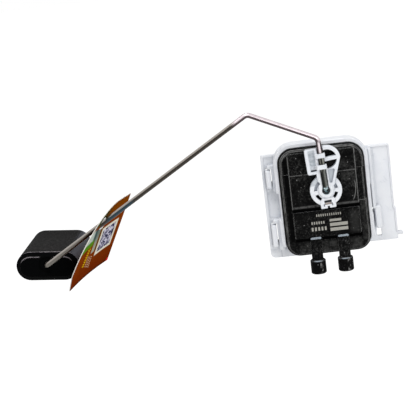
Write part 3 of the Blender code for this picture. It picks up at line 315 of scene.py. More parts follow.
CARD_PALE_ROWS = (
    ((-25.6, -19.0, -5.9, -4.5), 1.15, 0.6),
    ((-25.9, -19.0, -3.5, -2.1), 1.3, 0.62),
    ((-26.2, -19.0, -1.0, 0.3), 1.05, 0.6),
)
PANEL = (2.9, 20.3, -20.6, -4.2)
PANEL_SOFT = 0.15
PANEL_PAPER = (0.80, 0.77, 0.63)
PANEL_INNER = (4.7, 18.6, -19.1, -5.7)
PANEL_INNER_SOFT = 0.3
PANEL_BLOTCHES = (0.42, 3.0, 0.6)
PANEL_TWIST = 1.4
PANEL_LIGHT = (0.66, 0.64, 0.76)
PANEL_INK = (0.035, 0.035, 0.085)
CARD_RED = (0.72, 0.020, 0.035)
CARD_RED_AREA = (22.6, 30.0, -40.0, -30.4)
CARD_RED_SOFT = 0.5
CARD_BACK = (0.225, 0.052, 0.004)
CARD_BACK_DEEP = (0.165, 0.040, 0.003)
CARD_CUT = (0.72, 0.69, 0.64)


class Graph:
    """A material's node tree with short calls for the nodes that this script uses."""

    def __init__(self, name):
        self.material = bpy.data.materials.new(name)
        self.material.use_nodes = True
        self.tree = self.material.node_tree
        self.shader = self.tree.nodes["Principled BSDF"]

    def node(self, kind, **settings):
        made = self.tree.nodes.new(kind)
        for key, value in settings.items():
            setattr(made, key, value)
        return made

    def link(self, source, target):
        self.tree.links.new(source, target)

    def put(self, socket, value):
        """Links value if it is a socket, and otherwise writes it on the socket."""
        if hasattr(value, "links"):
            self.link(value, socket)
        else:
            socket.default_value = value

    def place(self, turn=(0, 0, 0)):
        """The piece's own coordinates in millimetres, turned about the origin."""
        coordinates = self.node("ShaderNodeTexCoord").outputs["Object"]
        mapping = self.node("ShaderNodeMapping")
        mapping.inputs["Scale"].default_value = (1 / MILLI, 1 / MILLI, 1 / MILLI)
        mapping.inputs["Rotation"].default_value = turn
        self.link(coordinates, mapping.inputs["Vector"])
        return mapping.outputs["Vector"]

    def place_in(self, origin, turn):
        """Millimetres in a frame of its own, with the given origin in metres and turn."""
        coordinates = self.node("ShaderNodeTexCoord").outputs["Object"]
        mapping = self.node("ShaderNodeMapping", vector_type="TEXTURE")
        mapping.inputs["Location"].default_value = origin
        mapping.inputs["Rotation"].default_value = turn
        mapping.inputs["Scale"].default_value = (MILLI, MILLI, MILLI)
        self.link(coordinates, mapping.inputs["Vector"])
        return mapping.outputs["Vector"]

    def parts(self, vector):
        """The vector's X, Y and Z."""
        split = self.node("ShaderNodeSeparateXYZ")
        self.link(vector, split.inputs[0])
        return split.outputs[X], split.outputs[Y], split.outputs[Z]

    def facing(self, axis):
        """The surface normal's part along one of the piece's own axes."""
        normal = self.node("ShaderNodeTexCoord").outputs["Normal"]
        return self.parts(normal)[axis]

    def facing_in(self, turn):
        """The surface normal's part along the Y axis of a turned frame."""
        aim = Euler(turn, "XYZ").to_matrix() @ Vector((0, 1, 0))
        dot = self.node("ShaderNodeVectorMath", operation="DOT_PRODUCT")
        self.link(self.node("ShaderNodeTexCoord").outputs["Normal"], dot.inputs[0])
        dot.inputs[1].default_value = aim
        return dot.outputs["Value"]

    def noise(self, scale, detail, rough, vector=None, distortion=0.0):
        """Clouds between 0 and 1, in the piece's own millimetres if no vector is given."""
        made = self.node("ShaderNodeTexNoise")
        self.link(vector or self.place(), made.inputs["Vector"])
        made.inputs["Scale"].default_value = scale
        made.inputs["Detail"].default_value = detail
        made.inputs["Roughness"].default_value = rough
        made.inputs["Distortion"].default_value = distortion
        return made.outputs["Fac"]

    def cells(self, scale):
        """The distance to the nearest of many scattered points."""
        made = self.node("ShaderNodeTexVoronoi", feature="F1")
        self.link(self.place(), made.inputs["Vector"])
        made.inputs["Scale"].default_value = scale
        made.inputs["Randomness"].default_value = 1.0
        return made.outputs["Distance"]

    def span(self, value, low, high, to_low=0.0, to_high=1.0):
        """value between low and high becomes to_low to to_high, with soft ends."""
        made = self.node("ShaderNodeMapRange", interpolation_type="SMOOTHSTEP")
        self.link(value, made.inputs["Value"])
        made.inputs["From Min"].default_value = low
        made.inputs["From Max"].default_value = high
        made.inputs["To Min"].default_value = to_low
        made.inputs["To Max"].default_value = to_high
        return made.outputs["Result"]

    def vary(self, noise, low=0.0, high=1.0):
        """low to high over the middle part of a noise."""
        return self.span(noise, *NOISE_MIDDLE, low, high)

    def math(self, operation, first, second=0.0, third=0.0):
        """One Math node, whose inputs are sockets or numbers."""
        made = self.node("ShaderNodeMath", operation=operation)
        self.put(made.inputs[0], first)
        self.put(made.inputs[1], second)
        self.put(made.inputs[2], third)
        return made.outputs[0]

    def times(self, first, *others):
        """The product of the values."""
        for other in others:
            first = self.math("MULTIPLY", first, other)
        return first

    def most(self, first, *others):
        """The largest of the values."""
        for other in others:
            first = self.math("MAXIMUM", first, other)
        return first

    def reach(self, x, z):
        """The distance from the frame's Y axis."""
        return self.math("SQRT", self.math("ADD", self.times(x, x), self.times(z, z)))

    def mix(self, factor, first, second):
        """The colour first where factor is 0 and second where it is 1."""
        made = self.node("ShaderNodeMix", data_type="RGBA")
        self.put(made.inputs["Factor"], factor)
        for socket, value in (("A", first), ("B", second)):
            target = [i for i in made.inputs if i.name == socket and i.type == "RGBA"][0]
            self.put(target, value if hasattr(value, "links") else (*value, 1.0))
        return [o for o in made.outputs if o.type == "RGBA"][0]

    def mix_value(self, factor, first, second):
        """The value first where factor is 0 and second where it is 1."""
        change = self.math("SUBTRACT", second, first)
        return self.math("MULTIPLY_ADD", change, factor, first)

    def edge(self, radius):
        """1 at the piece's sharp edges and 0 on its faces, and the rounded normal."""
        bevel = self.node("ShaderNodeBevel", samples=EDGE_SAMPLES)
        bevel.inputs["Radius"].default_value = radius
        flat = self.node("ShaderNodeNewGeometry").outputs["Normal"]
        dot = self.node("ShaderNodeVectorMath", operation="DOT_PRODUCT")
        self.link(bevel.outputs["Normal"], dot.inputs[0])
        self.link(flat, dot.inputs[1])
        return self.span(dot.outputs["Value"], *EDGE_FROM_TO), bevel.outputs["Normal"]

    def painted_corner_shade(self, reach, strength):
        """A mask for painted shade: strength deep in the piece's corners and 0 in the open."""
        shade = self.node("ShaderNodeAmbientOcclusion", samples=CORNER_SAMPLES, only_local=True)
        shade.inputs["Distance"].default_value = reach
        return self.span(shade.outputs["AO"], *CORNER_FROM_TO, 0.0, strength)

    def band(self, value, low, high, soft):
        """1 between low and high, with soft ends."""
        rise = self.span(value, low - soft, low + soft)
        fall = self.span(value, high + soft, high - soft)
        return self.times(rise, fall)

    def box(self, across, along, area, soft):
        """1 inside an area and 0 outside, with a soft edge."""
        left, right, bottom, top = area
        return self.times(self.band(across, left, right, soft), self.band(along, bottom, top, soft))

    def dashes(self, across, along, area, pitch, fill):
        """A row of short bars, fill of each pitch wide."""
        step = self.math("FRACT", self.math("DIVIDE", self.math("SUBTRACT", across, area[0]), pitch))
        row = self.box(across, along, area, DASH_SOFT)
        return self.times(row, self.band(step, DASH_GAP, fill, DASH_END_SOFT))

    def rows(self, across, along, listed):
        """Rows of dashes, each given as area, pitch and filled share."""
        return self.most(*[self.dashes(across, along, *row) for row in listed])

    def relief(self, height, strength, distance, normal=None):
        """Fine bump on the shader, on top of a rounded normal if one is given."""
        bump = self.node("ShaderNodeBump")
        bump.inputs["Strength"].default_value = strength
        bump.inputs["Distance"].default_value = distance
        self.link(height, bump.inputs["Height"])
        if normal is not None:
            self.link(normal, bump.inputs["Normal"])
        self.link(bump.outputs["Normal"], self.shader.inputs["Normal"])

    def finish(self, color, roughness, **values):
        """Sets the shader's sockets, named with _ for spaces, and returns the material."""
        self.put(self.shader.inputs["Base Color"], color)
        self.put(self.shader.inputs["Roughness"], roughness)
        for key, value in values.items():
            self.put(self.shader.inputs[key.replace("_", " ")], value)
        return self.material


def dress(names, material):
    """Gives the named pieces of the frame one material."""
    for name in names:
        slots = NODES[name].data.materials
        slots.clear()
        slots.append(material)


def white_plastic(name, light, shade, rough, corner_shade, is_holder):
    """Moulded acetal: milky, with flow clouds, a fine grain, smudges, painted shade in its corners, and
    edges lighter partly by wear and partly as painted highlight.
    """
    g = Graph(name)
    clouds = g.noise(*MILK_CLOUDS)
    grain = g.noise(*MILK_GRAIN)
    smudge = g.span(g.noise(*MILK_SMUDGES, distortion=0.6), 0.56, 0.74)
    edge, normal = g.edge(0.35 * MILLI)
    body = g.mix(g.span(clouds, 0.35, 0.7), light, shade)
    if is_holder:
        # Painted shade on the sunk floors.
        body = g.mix(holder_floor_shade(g), body, HOLDER_FLOOR_SHADE)
    body = g.mix(g.times(smudge, SMUDGE_SHADE), body, SMUDGE_AND_CORNER_SHADE)
    # Painted shade in the corners.
    body = g.mix(g.painted_corner_shade(CORNER_SHADE_REACH, corner_shade), body, SMUDGE_AND_CORNER_SHADE)
    # Edges lighter, partly wear and partly painted highlight.
    color = g.mix(g.times(edge, EDGE_WEAR_AND_HIGHLIGHT_SHARE), body, EDGE_WEAR_AND_HIGHLIGHT)
    if is_holder:
        color = holder_marks(g, color)
    g.relief(grain, 0.2, BUMP_FINE, normal)
    return g.finish(
        color,
        g.vary(clouds, rough, rough + 0.12),
        Specular_IOR_Level=0.25,
        Subsurface_Weight=0.3,
        Subsurface_Radius=MILK_DEPTH,
    )


def holder_floor_shade(g):
    """Painted shade: 1 on the holder's thin sunk floors of the box, web and slots, standing for their
    shade and for the black case showing through.
    """
    x, y, z = g.parts(g.place(HOLDER_TURN))
    inside = g.math("SUBTRACT", g.math("MULTIPLY_ADD", z, WEB_SLANT, WEB_START), x)
    web = g.times(
        g.span(y, *WEB_DEPTH_FROM_TO),
        g.span(inside, 0.0, 0.6),
        g.band(z, *WEB_HEIGHT, 0.5),
        g.span(inside, 3.4, 1.2, 0.6, 1.0),
    )
    box = g.times(g.box(x, z, MAGNET_BOX, 0.3), g.span(y, *BOX_DEPTH_FROM_TO))
    box = g.times(box, g.span(g.noise(*BOX_CLOUDS), 0.35, 0.6, 0.55, 1.0))
    slots = g.times(g.span(y, *SLOT_DEPTH_FROM_TO), g.span(z, *SLOT_HEIGHT_FROM_TO))
    return g.most(web, box, g.times(slots, SLOT_SHARE))


def holder_marks(g, color):
    """A painted highlight under the hub's bore, a beige tone on the yoke's sunk inner face, and painted
    shade in the stop yoke's window and notch.
    """
    x, _, z = g.parts(g.place())
    lower = g.times(g.span(g.reach(x, z), *HUB_FROM_TO), g.span(g.facing(Z), 0.55, 0.85))
    color = g.mix(lower, color, HUB_GLEAM)
    x, y, z = g.parts(g.place(HOLDER_TURN))
    sunk = g.span(y, *YOKE_DEPTH_FROM_TO)
    color = g.mix(g.times(g.box(x, z, YOKE_INNER, YOKE_SOFT), sunk), color, HOLDER_BEIGE)
    # Painted shade in the yoke's window and notch; the notch's shade also covers the front face round
    # it.
    window = g.times(g.box(x, z, YOKE_WINDOW, YOKE_SOFT), sunk)
    notch = g.box(x, z, YOKE_NOTCH, NOTCH_SOFT)
    return g.mix(g.most(window, notch), color, HOLDER_OPENING_SHADE)


def black_plastic(name, is_cover):
    """Filled black plastic: mottled and dusty, with painted shade in its grooves and corners, painted
    highlight on its edges and painted light on top.
    """
    g = Graph(name)
    mottle = g.noise(*BLACK_MOTTLE)
    clouds = g.noise(*BLACK_CLOUDS)
    edge, normal = g.edge(0.4 * MILLI)
    highlight_patches = g.span(g.noise(*BLACK_HIGHLIGHT_PATCHES), 0.30, 0.56, 0.25, 1.0)
    dusty = g.times(g.span(mottle, 0.46, 0.68), g.span(clouds, 0.38, 0.64, 0.22, 1.0))
    height = g.parts(g.place())[Z]
    dusty = g.times(dusty, g.span(height, *SOCKET_FROM_TO, 0.25, 1.0))
    body = g.mix(dusty, BLACK_DARK, BLACK_PALE)
    specks = g.span(g.cells(SPECK_SCALE), 0.11, 0.04)
    specks = g.times(specks, g.span(g.noise(*SPECK_CLOUDS), 0.42, 0.6, 0.25, 1.0))
    body = g.mix(specks, body, BLACK_SPECK)
    # Painted sky light on upward faces, in patches.
    body = g.mix(g.times(g.span(g.facing(Z), 0.12, 0.5), highlight_patches), body, BLACK_SKY)
    if is_cover:
        body = cover_depth(g, body)
    # Painted shade in the corners.
    body = g.mix(g.painted_corner_shade(GROOVE_SHADE_REACH, 1.0), body, BLACK_GROOVE_SHADE)
    # Painted highlight on the edges, in patches.
    body = g.mix(g.times(g.span(edge, 0.0, 0.5), highlight_patches), body, BLACK_LINE_AND_HIGHLIGHT)
    if is_cover:
        # Painted shadow in the grooves.
        body = g.mix(groove_shadow(g), body, BLACK_GROOVE_SHADE)
        body = cover_lights(g, body)
        body = g.mix(cover_print(g), body, PRINT_TONE)
    g.relief(mottle, 0.35, 0.09 * MILLI, normal)
    return g.finish(
        body,
        g.vary(clouds, 0.38, 0.55),
        Specular_IOR_Level=BLACK_GLOSS,
    )


def cover_depth(g, body):
    """Painted shade on the rim's slopes with painted highlight lines on its steps, the painted shadow
    beside the field, the dust, and painted highlight lines along the fields' edges.
    """
    x, y, z = g.parts(g.place())
    slope = g.times(g.span(g.facing(Y), *RIM_SLOPE_FROM_TO), g.span(z, *RIM_FOOT_FROM_TO))
    side = g.span(g.math("ABSOLUTE", x), *RIM_SIDE_FROM_TO)
    slope = g.times(slope, g.most(side, g.span(z, *RIM_TOP_FROM_TO)))
    steps = [g.band(y, *step, RIM_STEP_SOFT) for step in (RIM_OUTER_STEP, RIM_INNER_STEP)]
    patchy = g.span(g.noise(*RIM_PATCHES), 0.35, 0.6, 0.25, 1.0)
    # Painted shade on the rim's slopes, then painted highlight lines on its steps.
    body = g.mix(g.times(slope, RIM_SHADE_SHARE), body, BLACK_DARK)
    body = g.mix(g.times(slope, g.most(*steps), patchy), body, BLACK_LINE_AND_HIGHLIGHT)

    beside = g.box(x, z, FIELD_SHADOW, FIELD_SHADOW_SOFT)
    beside = g.times(beside, g.span(g.noise(*FIELD_SHADOW_CLOUDS), 0.2, 0.5, 0.6, 0.95))
    body = g.mix(beside, body, BLACK_DEEP)

    middle = g.box(x, z, DUSTY_MIDDLE, DUSTY_MIDDLE_SOFT)
    upper = g.box(x, z, DUSTY_UPPER, DUSTY_UPPER_SOFT)
    patch = g.times(g.most(middle, upper), g.span(g.noise(*DUSTY_CLOUDS), 0.40, 0.66, 0.05, 0.7))
    lower = g.times(g.box(x, z, DUSTY_LOWER, DUSTY_LOWER_SOFT), DUSTY_LOWER_SHARE)
    body = g.mix(g.most(patch, lower), body, BLACK_PALE)

    low_rim = g.most(*[g.box(x, z, area, RIM_LOW_SOFT) for area in (RIM_RIGHT, RIM_BOTTOM)])
    low_rim = g.times(low_rim, g.span(y, *RIM_LOW_DEPTH_FROM_TO))
    cloudy = g.span(g.noise(*RIM_CLOUDS), 0.38, 0.66, 0.05, 0.6)
    body = g.mix(g.times(low_rim, cloudy), body, BLACK_PALE)

    # Painted highlight lines along the fields' edges, ragged.
    dust = g.most(*[g.times(g.box(x, z, area, soft), share) for area, soft, share in FIELD_EDGE_HIGHLIGHTS])
    ragged = g.span(g.noise(*FIELD_EDGE_HIGHLIGHT_RAGGED), 0.34, 0.56, 0.15, 0.8)
    return g.mix(g.times(dust, ragged), body, BLACK_LINE_AND_HIGHLIGHT)


def groove_shadow(g):
    """1 in the two grooves that part the fields."""
    x, y, z = g.parts(g.place())
    grooves = g.most(*[g.box(x, z, area, GROOVE_SOFT) for area in (UPPER_GROOVE, LOWER_GROOVE)])
    return g.times(grooves, g.span(y, *GROOVE_DEPTH_FROM_TO))


def cover_lights(g, body):
    """Light on the stems' bevels, the collars and the sockets, and a faint arc round the axis."""
    x, _, z = g.parts(g.place())
    tilt = g.times(g.band(g.facing(Z), 0.45, 0.85, 0.08), g.span(g.facing(Y), -0.3, -0.55))
    middle = g.span(g.math("ABSOLUTE", g.facing(X)), 0.5, 0.2)
    on_collar = g.span(z, *COLLAR_FROM_TO)
    tilt = g.times(tilt, g.mix_value(on_collar, g.span(z, *STEM_TOP_FROM_TO), middle))
    shine = g.times(tilt, g.span(g.noise(*BEVEL_CLOUDS), 0.25, 0.55, 0.35, 1.0))
    body = g.mix(shine, body, BEVEL_SHINE)
    socket = g.times(g.span(z, *SOCKET_GLEAM_FROM_TO), g.band(g.facing(X), 0.22, 0.5, 0.12))
    gleam = g.times(socket, g.span(g.noise(*SOCKET_CLOUDS), 0.46, 0.70))
    body = g.mix(gleam, body, BLACK_LINE_AND_HIGHLIGHT)
    arc = g.band(g.reach(x, z), *ARC_RADIUS, ARC_SOFT)
    arc = g.times(arc, g.box(x, z, ARC_AREA, ARC_AREA_SOFT))
    return g.mix(g.times(arc, ARC_SHARE), body, BLACK_LINE_AND_HIGHLIGHT)


def cover_print(g):
    """1 on plain bars and dashes, which stand where the photograph has print."""
    x, y, z = g.parts(g.place())
    bars = g.most(*[g.box(x, z, area, PRINT_SOFT) for area in PRINT_BARS])
    marks = g.most(bars, g.rows(x, z, PRINT_ROWS))
    patchy = g.span(g.noise(*PRINT_WEAR), 0.25, 0.5, 0.35, 1.0)
    return g.times(marks, patchy, g.span(y, *PRINT_DEPTH_FROM_TO))


def wire_painted_light(g, color):
    """Painted light and shade by the surface's direction: bright top, dusky flank and dark underside of
    the sloping legs, a painted reflection of the card, and the upright leg's painted bands of light and
    shade and glints.
    """
    x, _, z = g.parts(g.place(HOLDER_TURN))
    height, across = g.facing(Z), g.facing(X)
    # Painted highlight on top and painted shade on the flank and underside of the sloping legs.
    long_leg = g.mix(g.span(height, 0.80, 0.62), WIRE_TOP, WIRE_SIDE)
    long_leg = g.mix(g.span(height, 0.56, 0.38), long_leg, WIRE_LOW)
    belly = g.mix(g.span(x, *OVER_FLOAT_FROM_TO), WIRE_UNDER, WIRE_DUSK)
    # Painted reflection of the card on the underside where the wire passes it.
    belly = g.mix(g.band(x, *OVER_CARD, OVER_CARD_SOFT), belly, WIRE_CARD_REFLECTION)
    long_leg = g.mix(g.span(height, 0.32, 0.16), long_leg, belly)
    long_leg = g.mix(g.span(height, -0.35, -0.7, 0.0, 0.4), long_leg, WIRE_LOW)
    short_leg = g.mix(g.band(height, 0.22, 0.42, 0.08), color, WIRE_LINE)
    short_leg = g.mix(g.span(height, 0.16, 0.0), short_leg, WIRE_SHADE)
    sloped = g.mix(g.span(x, *LONG_TO_SHORT_LEG), long_leg, short_leg)

    # Painted glints at the bend and painted bands of light and shade on the upright leg.
    glints = g.span(g.noise(*WIRE_GLINTS), 0.46, 0.58)
    bend = g.mix(glints, WIRE_DARK, HUB_GLEAM)
    low = g.mix(g.span(across, -0.35, 0.6), WIRE_DARK, WIRE_GREY)
    low = g.mix(g.span(z, *BEND_FROM_TO), low, bend)
    lit_streaks = g.most(g.band(across, -0.55, -0.28, 0.1), g.band(across, 0.28, 0.9, 0.1))
    middle = g.mix(lit_streaks, WIRE_DARK, WIRE_LIT)
    high = g.mix(g.band(across, -0.4, 0.35, 0.2), WIRE_SHADE, WIRE_LINE)
    upright = g.mix(g.span(z, *CHANNEL_FROM_TO), low, middle)
    upright = g.mix(g.span(z, *ABOVE_HOOKS_FROM_TO), upright, high)
    return g.mix(g.box(x, z, UPRIGHT_LEG, UPRIGHT_SOFT), sloped, upright)


def drawn_metal(name, light, dark, rough, bent=False):
    """Bright metal with fine marks and faint clouds; the bent wire gets painted light and shade."""
    g = Graph(name)
    marks = g.noise(*METAL_MARKS)
    color = g.mix(g.span(g.noise(*METAL_CLOUDS), 0.35, 0.68), light, dark)
    if bent:
        color = wire_painted_light(g, color)
    g.relief(marks, 0.18, 0.03 * MILLI)
    return g.finish(
        color,
        g.vary(marks, rough, rough + 0.14),
        Metallic=1.0,
        Specular_Tint=METAL_RIM,
    )


def rubber(name, dark, pale, rough):
    """Dull rubber with dust, and edges paler partly by wear and partly as painted highlight."""
    g = Graph(name)
    dust = g.noise(*RUBBER_DUST)
    grain = g.noise(*RUBBER_GRAIN)
    edge, normal = g.edge(0.25 * MILLI)
    body = g.mix(g.span(dust, 0.4, 0.75), dark, pale)
    g.relief(grain, 0.3, BUMP_FINE, normal)
    # Edges paler, partly wear and partly painted highlight.
    return g.finish(
        g.mix(g.times(edge, 0.4), body, pale),
        g.vary(dust, rough, rough + 0.1),
        Specular_IOR_Level=0.2,
    )


def foam(name):
    """Closed-cell float foam: near-black ends, eye and chamfers, partly a smoother cut face and partly
    painted shade; a greyer moulded skin with a painted sheen on the right flank; and painted highlight
    lines.
    """
    g = Graph(name)
    cell = g.cells(FOAM_CELL_SCALE)
    mottle = g.noise(*FOAM_MOTTLE)
    edge, normal = g.edge(0.6 * MILLI)
    x, y, z = g.parts(g.place_in(FLOAT_EYE, (0, 0, 0)))
    around = g.reach(x, z)
    depth = g.math("SUBTRACT", y, FLOAT_FRONT)
    line_patchiness = g.span(g.noise(*FOAM_HIGHLIGHT_PATCHES), 0.32, 0.52, 0.15, 1.0)

    skin = g.mix(g.span(mottle, 0.36, 0.68), FOAM_SKIN, FOAM_DUST)
    skin = g.mix(g.span(depth, *BACK_DARKER_FROM_TO, 0.0, 0.5), skin, FOAM_SKIN)
    # Painted sheen on the right flank.
    skin = g.mix(g.span(g.facing(X), 0.25, 0.75), skin, FOAM_FLANK_SHEEN)
    specks = g.span(g.noise(*FOAM_SPECKS), 0.60, 0.74)
    cut = g.mix(g.times(specks, FOAM_SPECK_SHARE), FOAM_END, FOAM_SKIN)
    end = g.span(g.facing(Y), -0.80, -0.97)
    chamfer = g.band(g.facing(Y), *CHAMFER_FACING, 0.05)
    # Near-black ends, eye and chamfers: partly a smoother cut face, partly painted shade.
    body = g.mix(g.most(end, g.span(around, *EYE_FROM_TO), chamfer), skin, cut)

    height = g.facing(Z)
    # Painted highlight lines at the chamfer and the front edge.
    chamfer_line = g.times(g.band(depth, *CHAMFER_LINE, 0.1), g.span(height, 0.8, 0.95))
    front_line = g.times(g.band(depth, *FRONT_LINE, 0.12), g.span(height, 0.3, 0.6), FRONT_LINE_SHARE)
    lines = g.times(g.most(chamfer_line, front_line), line_patchiness)
    clear = g.span(around, *EYE_CLEAR_FROM_TO)
    body = g.mix(g.times(lines, clear), body, FOAM_HIGHLIGHT)
    # Painted highlight on the edges, stronger towards the top.
    edge = g.times(edge, clear, g.span(z, *EDGE_HEIGHT_FROM_TO, 0.1, 1.0))
    g.relief(cell, 0.3, 0.08 * MILLI, normal)
    return g.finish(
        g.mix(g.times(edge, line_patchiness), body, FOAM_HIGHLIGHT),
        g.vary(mottle, 0.75, 0.9),
        Specular_IOR_Level=0.02,
    )


def card(name):
    """Printed card: orange-brown ink, plain fields of colour, a panel of blotches, pale cut edges."""
    g = Graph(name)
    card_frame = g.place_in(CARD_PLACE, CARD_TURN)
    x, _, z = g.parts(card_frame)
    blot = g.noise(*CARD_BLOTS, card_frame)
    fine = g.noise(*CARD_FINE, card_frame)

    color = g.mix(g.vary(blot), CARD_INK, CARD_INK_DEEP)
    color = g.mix(g.span(z, -14.0, -30.0, 0.0, 0.8), color, CARD_LOW)
    color = g.mix(g.span(z, -29.5, -33.0, 0.0, 0.85), color, CARD_TIP)
    above = g.span(z, -1.0, 1.5)
    color = g.mix(above, color, CARD_TOP)
    aslant = g.math("MULTIPLY_ADD", z, CARD_SHOULDER_SLANT, x)
    color = g.mix(g.times(above, g.span(aslant, 5.0, -4.0)), color, CARD_SHOULDER)
    for area, soft, tone in CARD_FIELDS:
        color = g.mix(g.box(x, z, area, soft), color, tone)
    strip = g.times(g.box(x, z, CARD_STRIP, CARD_STRIP_SOFT), g.span(fine, 0.3, 0.5, 0.55, 1.0))
    strip_tone = g.mix(g.span(z, -4.0, -15.0), CARD_STRIP_UPPER, CARD_STRIP_LOWER)
    color = g.mix(strip, color, strip_tone)
    color = g.mix(g.box(x, z, CARD_GREEN_AREA, CARD_GREEN_SOFT), color, CARD_GREEN)

    shear = g.math("MULTIPLY_ADD", x, CARD_SHEAR, z)
    slant = g.math("MULTIPLY_ADD", shear, CARD_SLANT, x)
    gold = g.times(g.rows(shear, slant, CARD_GOLD_ROWS), g.span(fine, 0.28, 0.46, 0.3, 1.0))
    color = g.mix(gold, color, CARD_GOLD)
    pale = g.times(g.rows(shear, x, CARD_PALE_ROWS), g.span(fine, 0.30, 0.46, 0.3, 1.0))
    color = g.mix(pale, color, CARD_PALE)

    color = g.mix(g.box(x, z, PANEL, PANEL_SOFT), color, PANEL_PAPER)
    blotches = g.span(g.noise(*PANEL_BLOTCHES, card_frame, PANEL_TWIST), 0.44, 0.53)
    ink = g.mix(blotches, PANEL_LIGHT, PANEL_INK)
    color = g.mix(g.box(x, z, PANEL_INNER, PANEL_INNER_SOFT), color, ink)
    color = g.mix(g.box(x, z, CARD_RED_AREA, CARD_RED_SOFT), color, CARD_RED)

    toward = g.facing_in(CARD_TURN)
    back = g.mix(g.vary(blot), CARD_BACK, CARD_BACK_DEEP)
    color = g.mix(g.span(toward, 0.2, 0.5), color, back)
    cut = g.span(g.math("ABSOLUTE", toward), 0.80, 0.45)
    color = g.mix(cut, color, CARD_CUT)
    g.relief(fine, 0.15, BUMP_FINE)
    return g.finish(color, g.vary(fine, 0.8, 0.95), Specular_IOR_Level=0.0)


def ceramic(name):
    """Dull, grainy ceramic of the hidden board."""
    g = Graph(name)
    grain = g.noise(*CERAMIC_GRAIN)
    g.relief(grain, 0.2, BUMP_FINE)
    return g.finish(g.mix(g.vary(grain), CERAMIC_LIGHT, CERAMIC_SHADE), g.vary(grain, 0.5, 0.65))


def film(name):
    """Satin amber film of the hidden spacer."""
    g = Graph(name)
    clouds = g.noise(*FILM_CLOUDS)
    g.relief(clouds, 0.1, BUMP_FINE)
    return g.finish(g.mix(g.vary(clouds), FILM_LIGHT, FILM_SHADE), g.vary(clouds, 0.3, 0.42))


def dress_all():
    """One material for each kind of piece."""
    bracket = white_plastic(
        "white_plastic_bracket", BRACKET_LIGHT, BRACKET_SHADE, 0.42, corner_shade=0.3, is_holder=False)
    holder = white_plastic(
        "white_plastic_holder", HOLDER_LIGHT, HOLDER_SHADE, 0.4, corner_shade=0.55, is_holder=True)
    dress(["mounting_bracket"], bracket)
    dress(["arm_holder"], holder)
    dress(["sensor_cover"], black_plastic("black_plastic_cover", is_cover=True))
    dress(["sensor_base"], black_plastic("black_plastic_base", is_cover=False))
    dress(["case_seal"], rubber("seal_rubber", SEAL_DARK, SEAL_PALE, 0.6))
    red_rubber = rubber("red_rubber", RED_DARK, RED_PALE, 0.55)
    dress(["terminal_seal_left", "terminal_seal_right"], red_rubber)
    dress(["resistor_board"], ceramic("board_ceramic"))
    dress(["comb_spacer"], film("amber_film"))
    brass = drawn_metal("terminal_brass", BRASS_LIGHT, BRASS_DARK, 0.25)
    dress(["terminal_left", "terminal_right"], brass)
    dress(["float_arm"], drawn_metal("wire_steel", WIRE_LIGHT, WIRE_CLOUD, 0.2, bent=True))
    steel = drawn_metal("steel", STEEL_LIGHT, STEEL_DARK, 0.2)
    dress(["contact_comb", "pivot_bush", "float_washer"], steel)
    # The axle ring is near-black as painted shade in the hub's bore.
    dress(["axle_ring"], drawn_metal("axle_ring_shade_steel", AXLE_SHADE_LIGHT, AXLE_SHADE_DARK, 0.3))
    dress(["magnet"], drawn_metal("magnet_metal", MAGNET_LIGHT, MAGNET_DARK, 0.45))
    dress(["hang_tag"], card("printed_card"))
    dress(["float"], foam("float_foam"))


def seen_rays(tree):
    """1 for camera, glossy and transmission rays, so that metal shows the white background too."""
    path = tree.nodes.new("ShaderNodeLightPath")
    total = path.outputs["Is Camera Ray"]
    for name in ("Is Glossy Ray", "Is Transmission Ray"):
        plus = tree.nodes.new("ShaderNodeMath")
        plus.operation = "ADD"
        plus.use_clamp = True
        tree.links.new(total, plus.inputs[0])
        tree.links.new(path.outputs[name], plus.inputs[1])
        total = plus.outputs[0]
    return total


def make_floor():
    """A wide white floor well below the part, which glows for seen rays alone."""
    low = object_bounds()[0][2] - FLOOR_DROP
    half = FLOOR_SPREAD / 2
    mesh = bpy.data.meshes.new("studio_floor")
    corners = [(-half, -half, low), (half, -half, low), (half, half, low), (-half, half, low)]
    mesh.from_pydata(corners, [], [(0, 1, 2, 3)])
    floor = bpy.data.objects.new("studio_floor", mesh)
    bpy.context.scene.collection.objects.link(floor)
    g = Graph("studio_floor_white")
    color = g.mix(g.vary(g.noise(0.02, 2.0, 0.5)), FLOOR_PALE, FLOOR_PALER)
    mesh.materials.append(g.finish(color, 0.8, Specular_IOR_Level=0.1))
    glow = g.node("ShaderNodeEmission")
    glow.inputs["Strength"].default_value = FLOOR_GLOW
    choose = g.node("ShaderNodeMixShader")
    g.link(g.times(seen_rays(g.tree), FLOOR_LIFT), choose.inputs[0])
    g.link(g.shader.outputs[0], choose.inputs[1])
    g.link(glow.outputs[0], choose.inputs[2])
    g.link(choose.outputs[0], g.tree.nodes["Material Output"].inputs["Surface"])


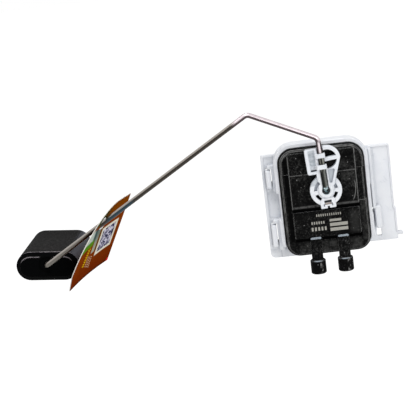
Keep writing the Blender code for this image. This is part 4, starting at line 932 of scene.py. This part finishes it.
def make_world():
    """A soft sky that lights the part, and plain white for seen rays."""
    world = bpy.data.worlds.new("studio_sky")
    bpy.context.scene.world = world
    world.use_nodes = True
    tree = world.node_tree
    sky = tree.nodes["Background"]
    white = tree.nodes.new("ShaderNodeBackground")
    for background, strength in ((sky, SKY_LIGHT), (white, SKY_SEEN)):
        background.inputs["Color"].default_value = SKY_WHITE
        background.inputs["Strength"].default_value = strength
    choose = tree.nodes.new("ShaderNodeMixShader")
    tree.links.new(seen_rays(tree), choose.inputs[0])
    tree.links.new(sky.outputs[0], choose.inputs[1])
    tree.links.new(white.outputs[0], choose.inputs[2])
    tree.links.new(choose.outputs[0], tree.nodes["World Output"].inputs["Surface"])


def make_lamp(name, place, size, power):
    """A square soft light that looks at the part."""
    light = bpy.data.lights.new(name, "AREA")
    light.shape = "SQUARE"
    light.size = size
    light.energy = power
    lamp = bpy.data.objects.new(name, light)
    bpy.context.scene.collection.objects.link(lamp)
    lamp.location = place
    lamp.rotation_euler = (Vector(LAMP_AIM) - Vector(place)).to_track_quat("-Z", "Y").to_euler()


def make_camera():
    """The photograph's view, from its yaw, downward pitch and roll."""
    yaw, pitch, roll = (radians(a) for a in (CAMERA_YAW, CAMERA_PITCH, CAMERA_ROLL))
    ahead = Vector((sin(yaw) * cos(pitch), cos(yaw) * cos(pitch), -sin(pitch)))
    right = Vector((cos(yaw), -sin(yaw), 0.0))
    up = right.cross(ahead)
    across = right * cos(roll) + up * sin(roll)
    upward = up * cos(roll) - right * sin(roll)
    turn = Matrix((across, upward, -ahead)).transposed().to_4x4()
    turn.translation = Vector(CAMERA_PLACE)
    lens = bpy.data.cameras.new("photo_camera")
    lens.lens = CAMERA_LENS
    lens.sensor_width = SENSOR_WIDTH
    lens.sensor_fit = "HORIZONTAL"
    lens.clip_start = CAMERA_NEAR
    camera = bpy.data.objects.new("photo_camera", lens)
    bpy.context.scene.collection.objects.link(camera)
    camera.matrix_world = turn
    bpy.context.scene.camera = camera


make_camera()
make_world()
make_lamp("key_light", KEY_PLACE, KEY_SIZE, KEY_POWER)
make_lamp("fill_light", FILL_PLACE, FILL_SIZE, FILL_POWER)
make_floor()
dress_all()
bpy.context.scene.view_settings.view_transform = "Standard"
